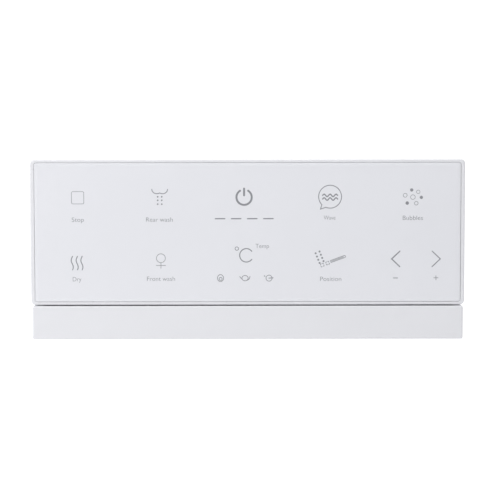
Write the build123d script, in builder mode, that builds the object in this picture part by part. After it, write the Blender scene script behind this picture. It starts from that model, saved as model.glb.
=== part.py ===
# Touch remote control of an electric bidet seat, standing in its wall holder. Sizes in millimetres.
# The wall is the plane Y = 0 and the glass faces -Y, with +Z up and +X to the right of someone
# who faces the glass. The origin is midway between the holder's two screw holes, on the wall.
# Every "depth" below is a distance from the wall towards that person.
from build123d import *
import os

os.makedirs("parts", exist_ok=True)

# ---------------------------------------------------------------- sizes of the whole
panel_width = 216.0            # front frame of the remote
panel_height = 72.4
panel_corner = 2.2
apron_inset = 0.75             # the holder's front strip is this much narrower, each side
apron_height = 16.6
apron_gap = 0.5                # slot between the remote and the strip
screw_spacing = 100.0          # the holder's two wall screws
screw_hole_radius = 2.25
screw_head_radius = 4.25

# ---------------------------------------------------------------- what is stacked up in depth
plate_depth = 4.0              # holder's back plate
rest_gap = 0.6                 # back plate to the remote's back
overhang = 0.9                 # skin of the rear housing over the door's flanges
slide_gap = 0.2                # play of the battery door, each way
flange_thickness = 0.8
foam_thickness = 0.6
foam_gap = 0.35                # foam to the cells and to the channel it slides along
battery_diameter = 10.5        # AAA cell
battery_length = 44.5
nub_diameter = 3.8
nub_length = 0.8
cell_gap = 0.15                # cell to the pocket's floor
pocket_floor = 1.2
board_room = 1.1               # pocket's floor to the circuit board
board_thickness = 1.2
pad_height = 2.0               # touch pads between board and glass
glass_thickness = 2.0

door_thickness = overhang + slide_gap + flange_thickness
rear = plate_depth + rest_gap
door_inside = rear + door_thickness
door_bed = door_inside + slide_gap
battery_depth = door_inside + foam_thickness + foam_gap + battery_diameter / 2
pocket_bottom = battery_depth + battery_diameter / 2 + cell_gap
board_back = pocket_bottom + pocket_floor + board_room
board_front = board_back + board_thickness
glass_back = board_front + pad_height
glass_face = glass_back + glass_thickness

# ---------------------------------------------------------------- front frame and glass
side_rim = 1.9
top_rim = 1.5
rim_round = 0.6
glass_proud = 0.2              # glass stands this far in front of the rim
groove = 0.25                  # open line between glass and rim
glass_bevel = 0.4
room_corner = 1.2
tape_thickness = 0.3
tape_setback = 0.4
tape_width = 2.7
ledge_thickness = 1.3
ledge_width = 4.0
ledge_corner = 9.0
frame_depth = 7.9

rim_face = glass_face - glass_proud
split = rim_face - frame_depth             # where frame and rear housing meet
ledge_front = glass_back - tape_thickness
ledge_back = ledge_front - ledge_thickness
room_width = panel_width - 2 * side_rim
room_height = panel_height - 2 * top_rim

# ---------------------------------------------------------------- strip and trough of the holder
cover_wall = 1.8
cover_fit = 0.15               # strip to trough
trough_wall = 1.6

apron_width = panel_width - 2 * apron_inset
trough_half = apron_width / 2 - cover_wall - cover_fit

# ---------------------------------------------------------------- rear housing
skin = 1.8
housing_inset_side = 2.0       # the housing is this much narrower than the frame, each side
housing_inset_top = 1.0
housing_corner = 4.0
rear_chamfer = 1.0
lip_height = 2.5
lip_thickness = 1.2
lip_clearance = 0.15
seal_clearance = 0.05
tongue_drop = 11.8             # reaches this far below the frame, into the holder
tongue_end_gap = 0.85          # each end of the tongue to the trough
tongue_corner = 3.0
tongue_setback = 0.1           # tongue behind the split

housing_width = panel_width - 2 * housing_inset_side
housing_height = panel_height - 2 * housing_inset_top
tongue_width = 2 * (trough_half - trough_wall - tongue_end_gap)
tongue_front = split - tongue_setback
tongue_bottom = -panel_height / 2 - tongue_drop
lip_end = split + lip_height

# ---------------------------------------------------------------- housing screws
boss_from_side = 7.5           # screw axis to the frame's side and to its top or bottom
boss_from_top = 7.0
frame_boss_radius = 2.6
post_radius = 3.5
post_bore_radius = 2.6
boss_gap = 0.3
screw_seat = 4.5               # seat behind the split
screw_radius = 1.25
thread_clearance = 0.05
post_hole_radius = 1.45
head_radius = 2.3
head_height = 1.6
screw_end_gap = 0.7
plug_radius = 2.5
plug_height = 2.0
plug_setback = 0.2
board_notch_radius = 3.4

boss_x = panel_width / 2 - boss_from_side
boss_z = panel_height / 2 - boss_from_top
screw_places = [(sx * boss_x, sz * boss_z) for sx in (-1, 1) for sz in (-1, 1)]

# ---------------------------------------------------------------- battery pocket and door
pocket_from_end = 6.5          # pocket to the housing's end
pocket_wall = 1.2
cell_spacing = 0.3             # between the two cells
cell_side_gap = 0.65
spring_room = 6.2
contact_thickness = 0.4
door_margin = 2.1              # door edge beyond the pocket
flange_width = 1.3
bed_margin = 1.7
bed_thickness = 2.0
door_land = 1.5                # door's inner end past the pocket, and bed's end past the tab
tab_length = 3.0
tab_width = 20.0
foam_length = 30.0
foam_width = 16.0

cell_z = (battery_diameter + cell_spacing) / 2
pocket_half = battery_diameter + cell_spacing / 2 + cell_side_gap
pocket_length = battery_length + spring_room + 2 * contact_thickness
housing_end = housing_width / 2
pocket_end = housing_end - pocket_from_end
pocket_start = pocket_end - pocket_length
pocket_middle = (pocket_start + pocket_end) / 2
door_start = pocket_start - door_land
door_half = pocket_half + door_margin
flange_half = door_half + flange_width
bed_half = flange_half + bed_margin
bed_start = door_start - tab_length - door_land
bed_back = door_bed + bed_thickness

# ---------------------------------------------------------------- touch keys and board
board_gap = 4.1                # board edge to the inside of the frame
board_gap_top = 4.2
key_radius = 5.0
first_column = 23.1            # outer key columns, from the frame's sides
last_column = 25.4
top_row = 19.0                 # key rows, from the frame's top and bottom
bottom_row = 20.7
level_row_drop = 10.6          # lit bars under the top row
status_row_drop = 7.5          # lit marks under the bottom row
arrow_spread = 10.25

key_pitch = (panel_width - first_column - last_column) / 4
columns = [first_column - panel_width / 2 + i * key_pitch for i in range(5)]
row_z = panel_height / 2 - top_row
low_row_z = bottom_row - panel_height / 2
key_places = [(x, row_z) for x in columns] + [(x, low_row_z) for x in columns[:4]]
key_places += [(columns[4] - arrow_spread, low_row_z), (columns[4] + arrow_spread, low_row_z)]
bar_pitch = 8.0
bar_places = [(columns[2] + (i - 1.5) * bar_pitch, row_z - level_row_drop) for i in range(4)]
mark_pitch = 12.2
mark_places = [(columns[2] + (i - 1) * mark_pitch, low_row_z - status_row_drop) for i in range(3)]

# ---------------------------------------------------------------- wall holder
plate_width = 150.0
plate_top = 27.0
plate_corner = 8.0
plate_skin = 2.0
trough_clearance = 0.8         # trough to the remote's tongue
rest_pad_height = 1.0
rest_pad_gap = 0.35
cover_proud = 1.2              # strip in front of the face of the glass
cover_corner = 0.8
cover_edge = 0.7
flange_depth_gap = 0.2

apron_top = -panel_height / 2 - apron_gap
apron_bottom = apron_top - apron_height
cover_face = glass_face + cover_proud
trough_bottom = apron_bottom + cover_wall + cover_fit
trough_floor = tongue_bottom - rest_pad_gap - rest_pad_height
trough_inside = tongue_front + trough_clearance
trough_front = trough_inside + trough_wall


def at_depth(depth):
    """Upright plane parallel to the wall; what is extruded from it grows towards the user."""
    return Plane.XZ.offset(depth)


# ================================================================ the remote's front
# Back-printed safety glass, one sheet, with a ground edge.
with BuildPart() as front_glass:
    with BuildSketch(at_depth(glass_back)):
        RectangleRounded(room_width - 2 * groove, room_height - 2 * groove, room_corner - groove)
    extrude(amount=glass_thickness)
    chamfer(front_glass.faces().sort_by(Axis.Y)[0].edges(), glass_bevel)
front_glass.part.label = "front_glass"

# Adhesive foam tape that holds the glass on the frame's ledge and keeps water out.
with BuildPart() as glass_tape:
    with BuildSketch(at_depth(ledge_front)):
        tape_w = room_width - 2 * groove - 2 * tape_setback
        tape_h = room_height - 2 * groove - 2 * tape_setback
        RectangleRounded(tape_w, tape_h, room_corner)
        RectangleRounded(tape_w - 2 * tape_width, tape_h - 2 * tape_width, room_corner,
                         mode=Mode.SUBTRACT)
    extrude(amount=tape_thickness)
glass_tape.part.label = "glass_tape"

# Moulded frame: outer wall, ledge under the glass and four screw bosses.
with BuildPart() as front_frame:
    with BuildSketch(at_depth(split)):
        RectangleRounded(panel_width, panel_height, panel_corner)
    extrude(amount=frame_depth)
    fillet(front_frame.faces().sort_by(Axis.Y)[0].edges(), rim_round)
    with BuildSketch(at_depth(split)):
        RectangleRounded(room_width, room_height, room_corner)
    extrude(amount=ledge_back - split, mode=Mode.SUBTRACT)
    with BuildSketch(at_depth(ledge_front)):
        RectangleRounded(room_width, room_height, room_corner)
    extrude(amount=rim_face - ledge_front, mode=Mode.SUBTRACT)
    with BuildSketch(at_depth(ledge_back)):
        RectangleRounded(room_width - 2 * ledge_width, room_height - 2 * ledge_width, ledge_corner)
    extrude(amount=ledge_thickness, mode=Mode.SUBTRACT)
    with BuildSketch(at_depth(split + boss_gap)):
        with Locations(*screw_places):
            Circle(frame_boss_radius)
    extrude(amount=ledge_front - split - boss_gap)
    with BuildSketch(at_depth(split + boss_gap)):
        with Locations(*screw_places):
            Circle(screw_radius + thread_clearance)
    extrude(amount=ledge_back - split - boss_gap, mode=Mode.SUBTRACT)
front_frame.part.label = "front_frame"

# ================================================================ the remote's electronics
with BuildPart() as circuit_board:
    with BuildSketch(at_depth(board_back)):
        Rectangle(room_width - 2 * board_gap, room_height - 2 * board_gap_top)
        with Locations(*screw_places):
            Circle(board_notch_radius, mode=Mode.SUBTRACT)
    extrude(amount=board_thickness)
circuit_board.part.label = "circuit_board"

# Conductive foam pads, one behind each printed key, pressed between board and glass.
with BuildPart() as touch_pads:
    with BuildSketch(at_depth(board_front)):
        with Locations(*key_places):
            Circle(key_radius)
    extrude(amount=pad_height)
touch_pads.part.label = "touch_pads"

led_length = 1.6
led_width = 0.8
led_height = 0.6
with BuildPart() as indicator_leds:
    with BuildSketch(at_depth(board_front)):
        with Locations(*bar_places, *mark_places):
            Rectangle(led_length, led_width)
    extrude(amount=led_height)
indicator_leds.part.label = "indicator_leds"

# Clear bars that spread the light of the four level lamps and of the three mark lamps.
guide_gap = 0.1
guide_margin = 3.0
guide_height = 5.0
guide_corner = 1.0
led_pocket = 0.3               # room round each lamp
with BuildPart() as light_guides:
    with BuildSketch(at_depth(board_front + guide_gap)):
        with Locations((columns[2], row_z - level_row_drop)):
            RectangleRounded(3 * bar_pitch + 2 * guide_margin, guide_height, guide_corner)
        with Locations((columns[2], low_row_z - status_row_drop)):
            RectangleRounded(2 * mark_pitch + 2 * guide_margin, guide_height, guide_corner)
    extrude(amount=pad_height - 2 * guide_gap)
    with BuildSketch(at_depth(board_front + guide_gap)):
        with Locations(*bar_places, *mark_places):
            Rectangle(led_length + 2 * led_pocket, led_width + 2 * led_pocket)
    extrude(amount=led_height + led_pocket, mode=Mode.SUBTRACT)
light_guides.part.label = "light_guides"

# Parts on the back of the board, all clear of the battery pocket. Each place is given from the
# key column beside it and from the middle of the panel.
chip_size = 7.0
chip_height = 1.0
chip_edge = 0.2
chip_from_key = 8.0
chip_up = 4.0
chip_place = (columns[1] + chip_from_key, chip_up)
with BuildPart() as main_chip:
    with BuildSketch(at_depth(board_back - chip_height)):
        with Locations(chip_place):
            Rectangle(chip_size, chip_size)
    extrude(amount=chip_height)
    chamfer(main_chip.faces().sort_by(Axis.Y)[-1].edges(), chip_edge)
main_chip.part.label = "main_chip"

touch_chip_size = 6.0
touch_chip_from_key = 4.0
touch_chip_up = 6.0
touch_chip_place = (columns[2] + touch_chip_from_key, touch_chip_up)
with BuildPart() as touch_chip:
    with BuildSketch(at_depth(board_back - chip_height)):
        with Locations(touch_chip_place):
            Rectangle(touch_chip_size, touch_chip_size)
    extrude(amount=chip_height)
    chamfer(touch_chip.faces().sort_by(Axis.Y)[-1].edges(), chip_edge)
touch_chip.part.label = "touch_chip"

module_length = 22.0
module_height = 15.0
module_thickness = 0.8
module_from_key = 6.0
module_down = 4.0
module_place = (columns[0] + module_from_key, -module_down)
with BuildPart() as radio_module:
    with BuildSketch(at_depth(board_back - module_thickness)):
        with Locations(module_place):
            Rectangle(module_length, module_height)
    extrude(amount=module_thickness)
radio_module.part.label = "radio_module"

can_length = 13.0
can_height = 12.0
can_depth = 2.2
can_wall = 0.25
can_corner = 0.6
can_shift = 3.0                # leaves one end of the module free for its aerial
can_place = (module_place[0] + can_shift, module_place[1])
with BuildPart() as radio_shield:
    with BuildSketch(at_depth(board_back - module_thickness - can_depth)):
        with Locations(can_place):
            RectangleRounded(can_length, can_height, can_corner)
    extrude(amount=can_depth)
    with BuildSketch(at_depth(board_back - module_thickness - can_depth + can_wall)):
        with Locations(can_place):
            Rectangle(can_length - 2 * can_wall, can_height - 2 * can_wall)
    extrude(amount=can_depth - can_wall, mode=Mode.SUBTRACT)
radio_shield.part.label = "radio_shield"

capacitor_length = 2.0
capacitor_width = 1.25
capacitor_height = 0.9
capacitor_pitch = 6.0
capacitor_from_chip = 8.0
capacitor_places = [(chip_place[0] + i * capacitor_pitch, chip_place[1] + j * capacitor_from_chip)
                    for i in (-1, 0, 1) for j in (-1, 1)]
with BuildPart() as board_capacitors:
    with BuildSketch(at_depth(board_back - capacitor_height)):
        with Locations(*capacitor_places):
            Rectangle(capacitor_length, capacitor_width)
    extrude(amount=capacitor_height)
board_capacitors.part.label = "board_capacitors"

# ================================================================ the remote's power
# The upper cell has its minus end at the pocket's start, the lower one the other way round.
cell_start = pocket_start + contact_thickness
cell_end = pocket_end - contact_thickness
case_length = battery_length - nub_length
case_round = 0.5


def along_x(x, z):
    """Plane across the pocket at x, centred on a cell's axis; what is extruded grows towards +X."""
    return Plane(origin=(x, -battery_depth, z), x_dir=(0, 1, 0), z_dir=(1, 0, 0))


with BuildPart() as battery_1:
    with BuildSketch(along_x(cell_end - battery_length, cell_z)):
        Circle(battery_diameter / 2)
    extrude(amount=case_length)
    fillet(battery_1.edges().filter_by(GeomType.CIRCLE), case_round)
    with BuildSketch(along_x(cell_end - nub_length, cell_z)):
        Circle(nub_diameter / 2)
    extrude(amount=nub_length)
battery_1.part.label = "battery_1"

with BuildPart() as battery_2:
    with BuildSketch(along_x(cell_start + nub_length, -cell_z)):
        Circle(battery_diameter / 2)
    extrude(amount=case_length)
    fillet(battery_2.edges().filter_by(GeomType.CIRCLE), case_round)
    with BuildSketch(along_x(cell_start, -cell_z)):
        Circle(nub_diameter / 2)
    extrude(amount=nub_length)
battery_2.part.label = "battery_2"

# Nickel-plated strips. Their tails pass the pocket's floor and are soldered to the board.
contact_height = 8.0
contact_top = battery_depth - contact_height / 2
tail_width = 3.0
slot_play = 0.15


def contact_strip(x, z, height):
    """One strip with its tail, inside the part that is being built."""
    with BuildSketch(at_depth(contact_top)) as blade:
        with Locations((x, z)):
            Rectangle(contact_thickness, height)
    extrude(blade.sketch, amount=pocket_bottom - contact_top)
    with BuildSketch(at_depth(pocket_bottom)) as tail:
        with Locations((x, z)):
            Rectangle(contact_thickness, tail_width)
    extrude(tail.sketch, amount=board_back - pocket_bottom)


strip_start = pocket_start + contact_thickness / 2
strip_end = pocket_end - contact_thickness / 2
with BuildPart() as minus_contact:
    contact_strip(strip_start, cell_z, contact_height)
minus_contact.part.label = "minus_contact"

with BuildPart() as plus_contact:
    contact_strip(strip_start, -cell_z, contact_height)
plus_contact.part.label = "plus_contact"

# The bridge joins the two cells and has no tail.
with BuildPart() as bridge_contact:
    with BuildSketch(at_depth(contact_top)):
        with Locations((strip_end, 0)):
            Rectangle(contact_thickness, 2 * cell_z + contact_height)
    extrude(amount=pocket_bottom - contact_top)
bridge_contact.part.label = "bridge_contact"

# Conical wire springs behind the minus ends, shown as the cells press them.
wire_radius = 0.3
spring_small = 1.7
spring_taper = 12.0
spring_pitch = 1.6
spring_gap = 0.05              # wire to the strip and to the cell
spring_seat = wire_radius + spring_gap
spring_length = spring_room - 2 * spring_seat
with BuildPart() as battery_springs:
    for seat, z, way in ((cell_start, cell_z, 1), (cell_end, -cell_z, -1)):
        with BuildLine() as coil:
            Helix(spring_pitch, spring_length, spring_small, direction=(-way, 0, 0),
                  center=(seat + way * (spring_room - spring_seat), -battery_depth, z),
                  cone_angle=spring_taper)
        with BuildSketch(Plane(origin=coil.line @ 0, z_dir=coil.line % 0)):
            Circle(wire_radius)
        sweep(path=coil.line, is_frenet=True)
battery_springs.part.label = "battery_springs"

# ================================================================ the remote's back
# Rear housing: shell, tongue that drops into the holder, battery pocket and the door's bed.
with BuildPart() as rear_housing:
    with BuildSketch(at_depth(rear)):
        RectangleRounded(housing_width, housing_height, housing_corner)
    extrude(amount=split - rear)
    with BuildSketch(at_depth(rear)):
        with Locations((0, tongue_bottom / 2)):
            RectangleRounded(tongue_width, -tongue_bottom, tongue_corner)
    extrude(amount=tongue_front - rear)
    chamfer(rear_housing.faces().sort_by(Axis.Y)[-1].edges(), rear_chamfer)
    with BuildSketch(at_depth(rear + skin)):
        RectangleRounded(housing_width - 2 * skin, housing_height - 2 * skin, housing_corner - skin)
    extrude(amount=split - rear - skin, mode=Mode.SUBTRACT)
    with BuildSketch(at_depth(rear + skin)):
        with Locations((0, (tongue_bottom + skin) / 2)):
            RectangleRounded(tongue_width - 2 * skin, -tongue_bottom - skin, tongue_corner - skin)
    extrude(amount=tongue_front - rear - 2 * skin, mode=Mode.SUBTRACT)
    # lip that stands inside the front frame
    with BuildSketch(at_depth(split - lip_thickness)):
        lip_w = room_width - 2 * lip_clearance
        lip_h = room_height - 2 * lip_clearance
        RectangleRounded(lip_w, lip_h, room_corner - lip_clearance)
        RectangleRounded(lip_w - 2 * lip_thickness, lip_h - 2 * lip_thickness, room_corner,
                         mode=Mode.SUBTRACT)
        RectangleRounded(housing_width, housing_height, housing_corner, mode=Mode.INTERSECT)
    extrude(amount=lip_thickness)
    with BuildSketch(at_depth(split)):
        RectangleRounded(lip_w, lip_h, room_corner - lip_clearance)
        RectangleRounded(lip_w - 2 * lip_thickness, lip_h - 2 * lip_thickness, room_corner,
                         mode=Mode.SUBTRACT)
    extrude(amount=lip_height)
    # screw posts, bored from the back
    with BuildSketch(at_depth(rear + skin / 2)):
        with Locations(*screw_places):
            Circle(post_radius)
    extrude(amount=split - rear - skin / 2)
    with BuildSketch(at_depth(rear)):
        with Locations(*screw_places):
            Circle(post_bore_radius)
    extrude(amount=split - screw_seat - rear, mode=Mode.SUBTRACT)
    with BuildSketch(at_depth(rear)):
        with Locations(*screw_places):
            Circle(post_hole_radius)
    extrude(amount=split - rear, mode=Mode.SUBTRACT)
    # bed of the door and box of the battery pocket
    with BuildSketch(at_depth(rear + skin)):
        with Locations(((bed_start + housing_end - skin) / 2, 0)):
            Rectangle(housing_end - skin - bed_start, 2 * bed_half)
    extrude(amount=bed_back - rear - skin)
    with BuildSketch(at_depth(rear + skin)):
        with Locations((pocket_middle, 0)):
            Rectangle(pocket_length + 2 * pocket_wall, 2 * (pocket_half + pocket_wall))
    extrude(amount=pocket_bottom + pocket_floor - rear - skin)
    with BuildSketch(at_depth(rear)):
        with Locations((pocket_middle, 0)):
            Rectangle(pocket_length, 2 * pocket_half)
    extrude(amount=pocket_bottom - rear, mode=Mode.SUBTRACT)
    # opening for the door, its two grooves and the slot for its tab
    with BuildSketch(at_depth(rear)):
        with Locations((door_start - slide_gap, 0)):
            Rectangle(panel_width, 2 * (door_half + slide_gap), align=(Align.MIN, Align.CENTER))
    extrude(amount=door_bed - rear, mode=Mode.SUBTRACT)
    with BuildSketch(at_depth(rear + overhang)):
        with Locations((door_start - slide_gap, 0)):
            Rectangle(panel_width, 2 * (flange_half + slide_gap), align=(Align.MIN, Align.CENTER))
        with Locations((door_start - tab_length - slide_gap, 0)):
            Rectangle(2 * tab_length, tab_width + 2 * slide_gap, align=(Align.MIN, Align.CENTER))
    extrude(amount=door_bed - rear - overhang, mode=Mode.SUBTRACT)
    # shallow channel that lets the door's foam pass the pocket's end
    with BuildSketch(at_depth(rear)):
        with Locations((pocket_middle, 0)):
            Rectangle(panel_width, foam_width + 2 * foam_gap, align=(Align.MIN, Align.CENTER))
    extrude(amount=door_thickness + foam_thickness + foam_gap, mode=Mode.SUBTRACT)
    # slots for the tails of the contacts
    with BuildSketch(at_depth(pocket_bottom)):
        with Locations((strip_start, cell_z), (strip_start, -cell_z)):
            Rectangle(contact_thickness + 2 * slot_play, tail_width + 2 * slot_play)
    extrude(amount=pocket_floor, mode=Mode.SUBTRACT)
rear_housing.part.label = "rear_housing"

# Silicone cord squeezed between the housing's lip and the frame's ledge.
with BuildPart() as housing_seal:
    with BuildSketch(at_depth(lip_end + seal_clearance)):
        RectangleRounded(lip_w, lip_h, room_corner - lip_clearance)
        RectangleRounded(lip_w - 2 * lip_thickness, lip_h - 2 * lip_thickness, room_corner,
                         mode=Mode.SUBTRACT)
    extrude(amount=ledge_back - lip_end - 2 * seal_clearance)
housing_seal.part.label = "housing_seal"

# Pan-head self-tapping screws, driven from the back with a cross driver.
recess_length = 2.4
recess_width = 0.6
recess_depth = 0.9
with BuildPart() as housing_screws:
    with BuildSketch(at_depth(split - screw_seat - head_height)):
        with Locations(*screw_places):
            Circle(head_radius)
    extrude(amount=head_height)
    with BuildSketch(at_depth(split - screw_seat)):
        with Locations(*screw_places):
            Circle(screw_radius)
    extrude(amount=ledge_back - screw_end_gap - split + screw_seat)
    with BuildSketch(at_depth(split - screw_seat - head_height)):
        with Locations(*screw_places):
            Rectangle(recess_length, recess_width)
            Rectangle(recess_width, recess_length)
    extrude(amount=recess_depth, mode=Mode.SUBTRACT)
housing_screws.part.label = "housing_screws"

with BuildPart() as screw_plugs:
    with BuildSketch(at_depth(rear + plug_setback)):
        with Locations(*screw_places):
            Circle(plug_radius)
    extrude(amount=plug_height)
screw_plugs.part.label = "screw_plugs"

# ================================================================ the battery door
grip_length = 16.0
grip_width = 1.2
grip_depth = 0.5
grip_pitch = 3.0
grip_count = 3
grip_from_end = 7.0
with BuildPart() as battery_door:
    with BuildSketch(at_depth(rear)):
        with Locations((door_start, 0)):
            Rectangle(housing_end - door_start, 2 * door_half, align=(Align.MIN, Align.CENTER))
    extrude(amount=door_thickness)
    with BuildSketch(at_depth(door_inside - flange_thickness)):
        with Locations((door_start, 0)):
            Rectangle(housing_end - door_start, 2 * flange_half, align=(Align.MIN, Align.CENTER))
        with Locations((door_start - tab_length, 0)):
            Rectangle(2 * tab_length, tab_width, align=(Align.MIN, Align.CENTER))
    extrude(amount=flange_thickness)
    chamfer(battery_door.faces().sort_by(Axis.X)[-1].edges().sort_by(Axis.Y)[-1], rear_chamfer)
    with BuildSketch(at_depth(rear)):
        with Locations(*[(housing_end - grip_from_end - i * grip_pitch, 0) for i in range(grip_count)]):
            SlotOverall(grip_length, grip_width, rotation=90)
    extrude(amount=grip_depth, mode=Mode.SUBTRACT)
battery_door.part.label = "battery_door"

with BuildPart() as battery_foam:
    with BuildSketch(at_depth(door_inside)):
        with Locations((pocket_middle, 0)):
            Rectangle(foam_length, foam_width)
    extrude(amount=foam_thickness)
battery_foam.part.label = "battery_foam"

# ================================================================ the wall holder
# Holder base: back plate with wall bosses, tape recesses, trough and ribs that carry the strip.
tape_pad_width = 26.0
tape_pad_height = 40.0
tape_pad_corner = 1.2
tape_pad_x = 22.0
pad_play = 0.3
drain_length = 14.0
drain_width = 3.0
lug_length = 8.0
lug_width = 3.0
lug_from_end = 17.0
lug_setback = 0.3              # lugs end inside the strip's bottom
lug_drop = cover_wall - lug_setback
lug_pitch = 2 * (apron_width / 2 - lug_from_end) / 3
lug_places = [((i - 1.5) * lug_pitch, 0) for i in range(4)]
drain_places = [((i - 1) * lug_pitch, 0) for i in range(3)]
rib_thickness = 1.6
rib_count = 7
core_count = 8
core_rib = 3.0
core_height = 8.0
core_corner = 1.0
trough_depth_middle = (plate_depth + trough_inside) / 2


def in_trough(z):
    """Level plane at height z, centred over the trough's floor; what is extruded grows upwards."""
    return Plane(origin=(0, -trough_depth_middle, z))


with BuildPart() as dock_base:
    with BuildSketch(at_depth(0)):
        with Locations((0, (plate_top + trough_bottom) / 2)):
            RectangleRounded(plate_width, plate_top - trough_bottom, plate_corner)
        with Locations((0, trough_bottom)):
            Rectangle(2 * trough_half, apron_top - trough_bottom, align=(Align.CENTER, Align.MIN))
    extrude(amount=plate_depth)
    with BuildSketch(at_depth(0)):
        with Locations((0, trough_bottom)):
            Rectangle(2 * trough_half, apron_top - trough_bottom, align=(Align.CENTER, Align.MIN))
    extrude(amount=trough_front)
    with BuildSketch(at_depth(plate_depth)):
        with Locations((0, trough_floor)):
            Rectangle(2 * (trough_half - trough_wall), apron_height, align=(Align.CENTER, Align.MIN))
    extrude(amount=trough_inside - plate_depth, mode=Mode.SUBTRACT)
    # countersunk screw holes
    with BuildSketch(at_depth(0)):
        with Locations((-screw_spacing / 2, 0), (screw_spacing / 2, 0)):
            Circle(screw_hole_radius)
    extrude(amount=plate_depth, mode=Mode.SUBTRACT)
    with BuildSketch(at_depth(plate_depth)):
        with Locations((-screw_spacing / 2, 0), (screw_spacing / 2, 0)):
            Circle(screw_head_radius)
    extrude(amount=screw_hole_radius - screw_head_radius, taper=45, mode=Mode.SUBTRACT)
    # recesses at the back: two for the tape pads and a row that keeps the trough's wall thin
    with BuildSketch(at_depth(0)):
        with Locations((-tape_pad_x, 0), (tape_pad_x, 0)):
            RectangleRounded(tape_pad_width + 2 * pad_play, tape_pad_height + 2 * pad_play,
                             tape_pad_corner + pad_play)
        core_pitch = 2 * (trough_half - core_rib) / core_count
        with Locations((0, (trough_bottom + apron_top) / 2)):
            with GridLocations(core_pitch, core_height, core_count, 1):
                RectangleRounded(core_pitch - core_rib, core_height, core_corner)
    extrude(amount=plate_skin, mode=Mode.SUBTRACT)
    # ribs between trough and strip
    rib_pitch = 2 * (trough_half - rib_thickness) / (rib_count - 1)
    rib_top = apron_top - cover_wall - cover_fit
    with BuildSketch(at_depth(trough_front)):
        with Locations((0, (trough_bottom + rib_top) / 2)):
            with GridLocations(rib_pitch, apron_height, rib_count, 1):
                Rectangle(rib_thickness, rib_top - trough_bottom)
    extrude(amount=cover_face - cover_wall - cover_fit - trough_front)
    # drains, and the lugs that the strip's bottom snaps over
    with BuildSketch(in_trough(trough_bottom)):
        with Locations(*drain_places):
            SlotOverall(drain_length, drain_width)
    extrude(amount=apron_height, mode=Mode.SUBTRACT)
    with BuildSketch(in_trough(trough_bottom - lug_drop)):
        with Locations(*lug_places):
            Rectangle(lug_length, lug_width)
    extrude(amount=lug_drop)
dock_base.part.label = "dock_base"

# Strip: front wall, ends, bottom and a flange over the trough's front wall.
with BuildPart() as dock_strip:
    with BuildSketch(Plane.XY.offset(apron_bottom)):
        with Locations((0, -cover_face)):
            Rectangle(apron_width, cover_face, align=(Align.CENTER, Align.MIN))
    extrude(amount=apron_height)
    fillet(dock_strip.edges().filter_by(Axis.Z).group_by(Axis.Y)[0], cover_corner)
    fillet(dock_strip.faces().sort_by(Axis.Z)[-1].edges().sort_by(Axis.Y)[:-1], cover_edge)
    fillet(dock_strip.faces().sort_by(Axis.Z)[0].edges().sort_by(Axis.Y)[:-1], cover_edge)
    with BuildSketch(Plane.XY.offset(apron_bottom + cover_wall)):
        with Locations((0, cover_wall - cover_face)):
            Rectangle(apron_width - 2 * cover_wall, cover_face, align=(Align.CENTER, Align.MIN))
    extrude(amount=apron_height - 2 * cover_wall, mode=Mode.SUBTRACT)
    with BuildSketch(Plane.XY.offset(apron_top - cover_wall)):
        with Locations((0, -trough_front - flange_depth_gap)):
            Rectangle(apron_width - 2 * cover_wall, cover_face, align=(Align.CENTER, Align.MIN))
    extrude(amount=cover_wall, mode=Mode.SUBTRACT)
    with BuildSketch(in_trough(apron_bottom)):
        with Locations(*drain_places):
            SlotOverall(drain_length, drain_width)
        with Locations(*lug_places):
            Rectangle(lug_length + 2 * pad_play, lug_width + 2 * pad_play)
    extrude(amount=cover_wall, mode=Mode.SUBTRACT)
dock_strip.part.label = "dock_strip"

with BuildPart() as wall_tape_pads:
    with BuildSketch(at_depth(0)):
        with Locations((-tape_pad_x, 0), (tape_pad_x, 0)):
            RectangleRounded(tape_pad_width, tape_pad_height, tape_pad_corner)
    extrude(amount=plate_skin)
wall_tape_pads.part.label = "wall_tape_pads"

rest_pad_length = 20.0
rest_pad_from_end = 14.0
rest_pad_width = 8.0
rest_pad_x = trough_half - trough_wall - rest_pad_from_end
with BuildPart() as rest_pads:
    with BuildSketch(in_trough(trough_floor)):
        with Locations((-rest_pad_x, 0), (rest_pad_x, 0)):
            SlotOverall(rest_pad_length, rest_pad_width)
    extrude(amount=rest_pad_height)
rest_pads.part.label = "rest_pads"

# ================================================================ written out
pieces = [front_glass, glass_tape, front_frame, circuit_board, touch_pads, indicator_leds,
          light_guides, main_chip, touch_chip, radio_module, radio_shield, board_capacitors,
          battery_1, battery_2, minus_contact, plus_contact, bridge_contact, battery_springs,
          rear_housing, housing_seal, housing_screws, screw_plugs, battery_door, battery_foam,
          dock_base, dock_strip, wall_tape_pads, rest_pads]
for piece in pieces:
    export_step(piece.part, "parts/" + piece.part.label + ".step")
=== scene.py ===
import bpy
import bmesh
import math
from mathutils import Vector, Matrix


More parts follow.
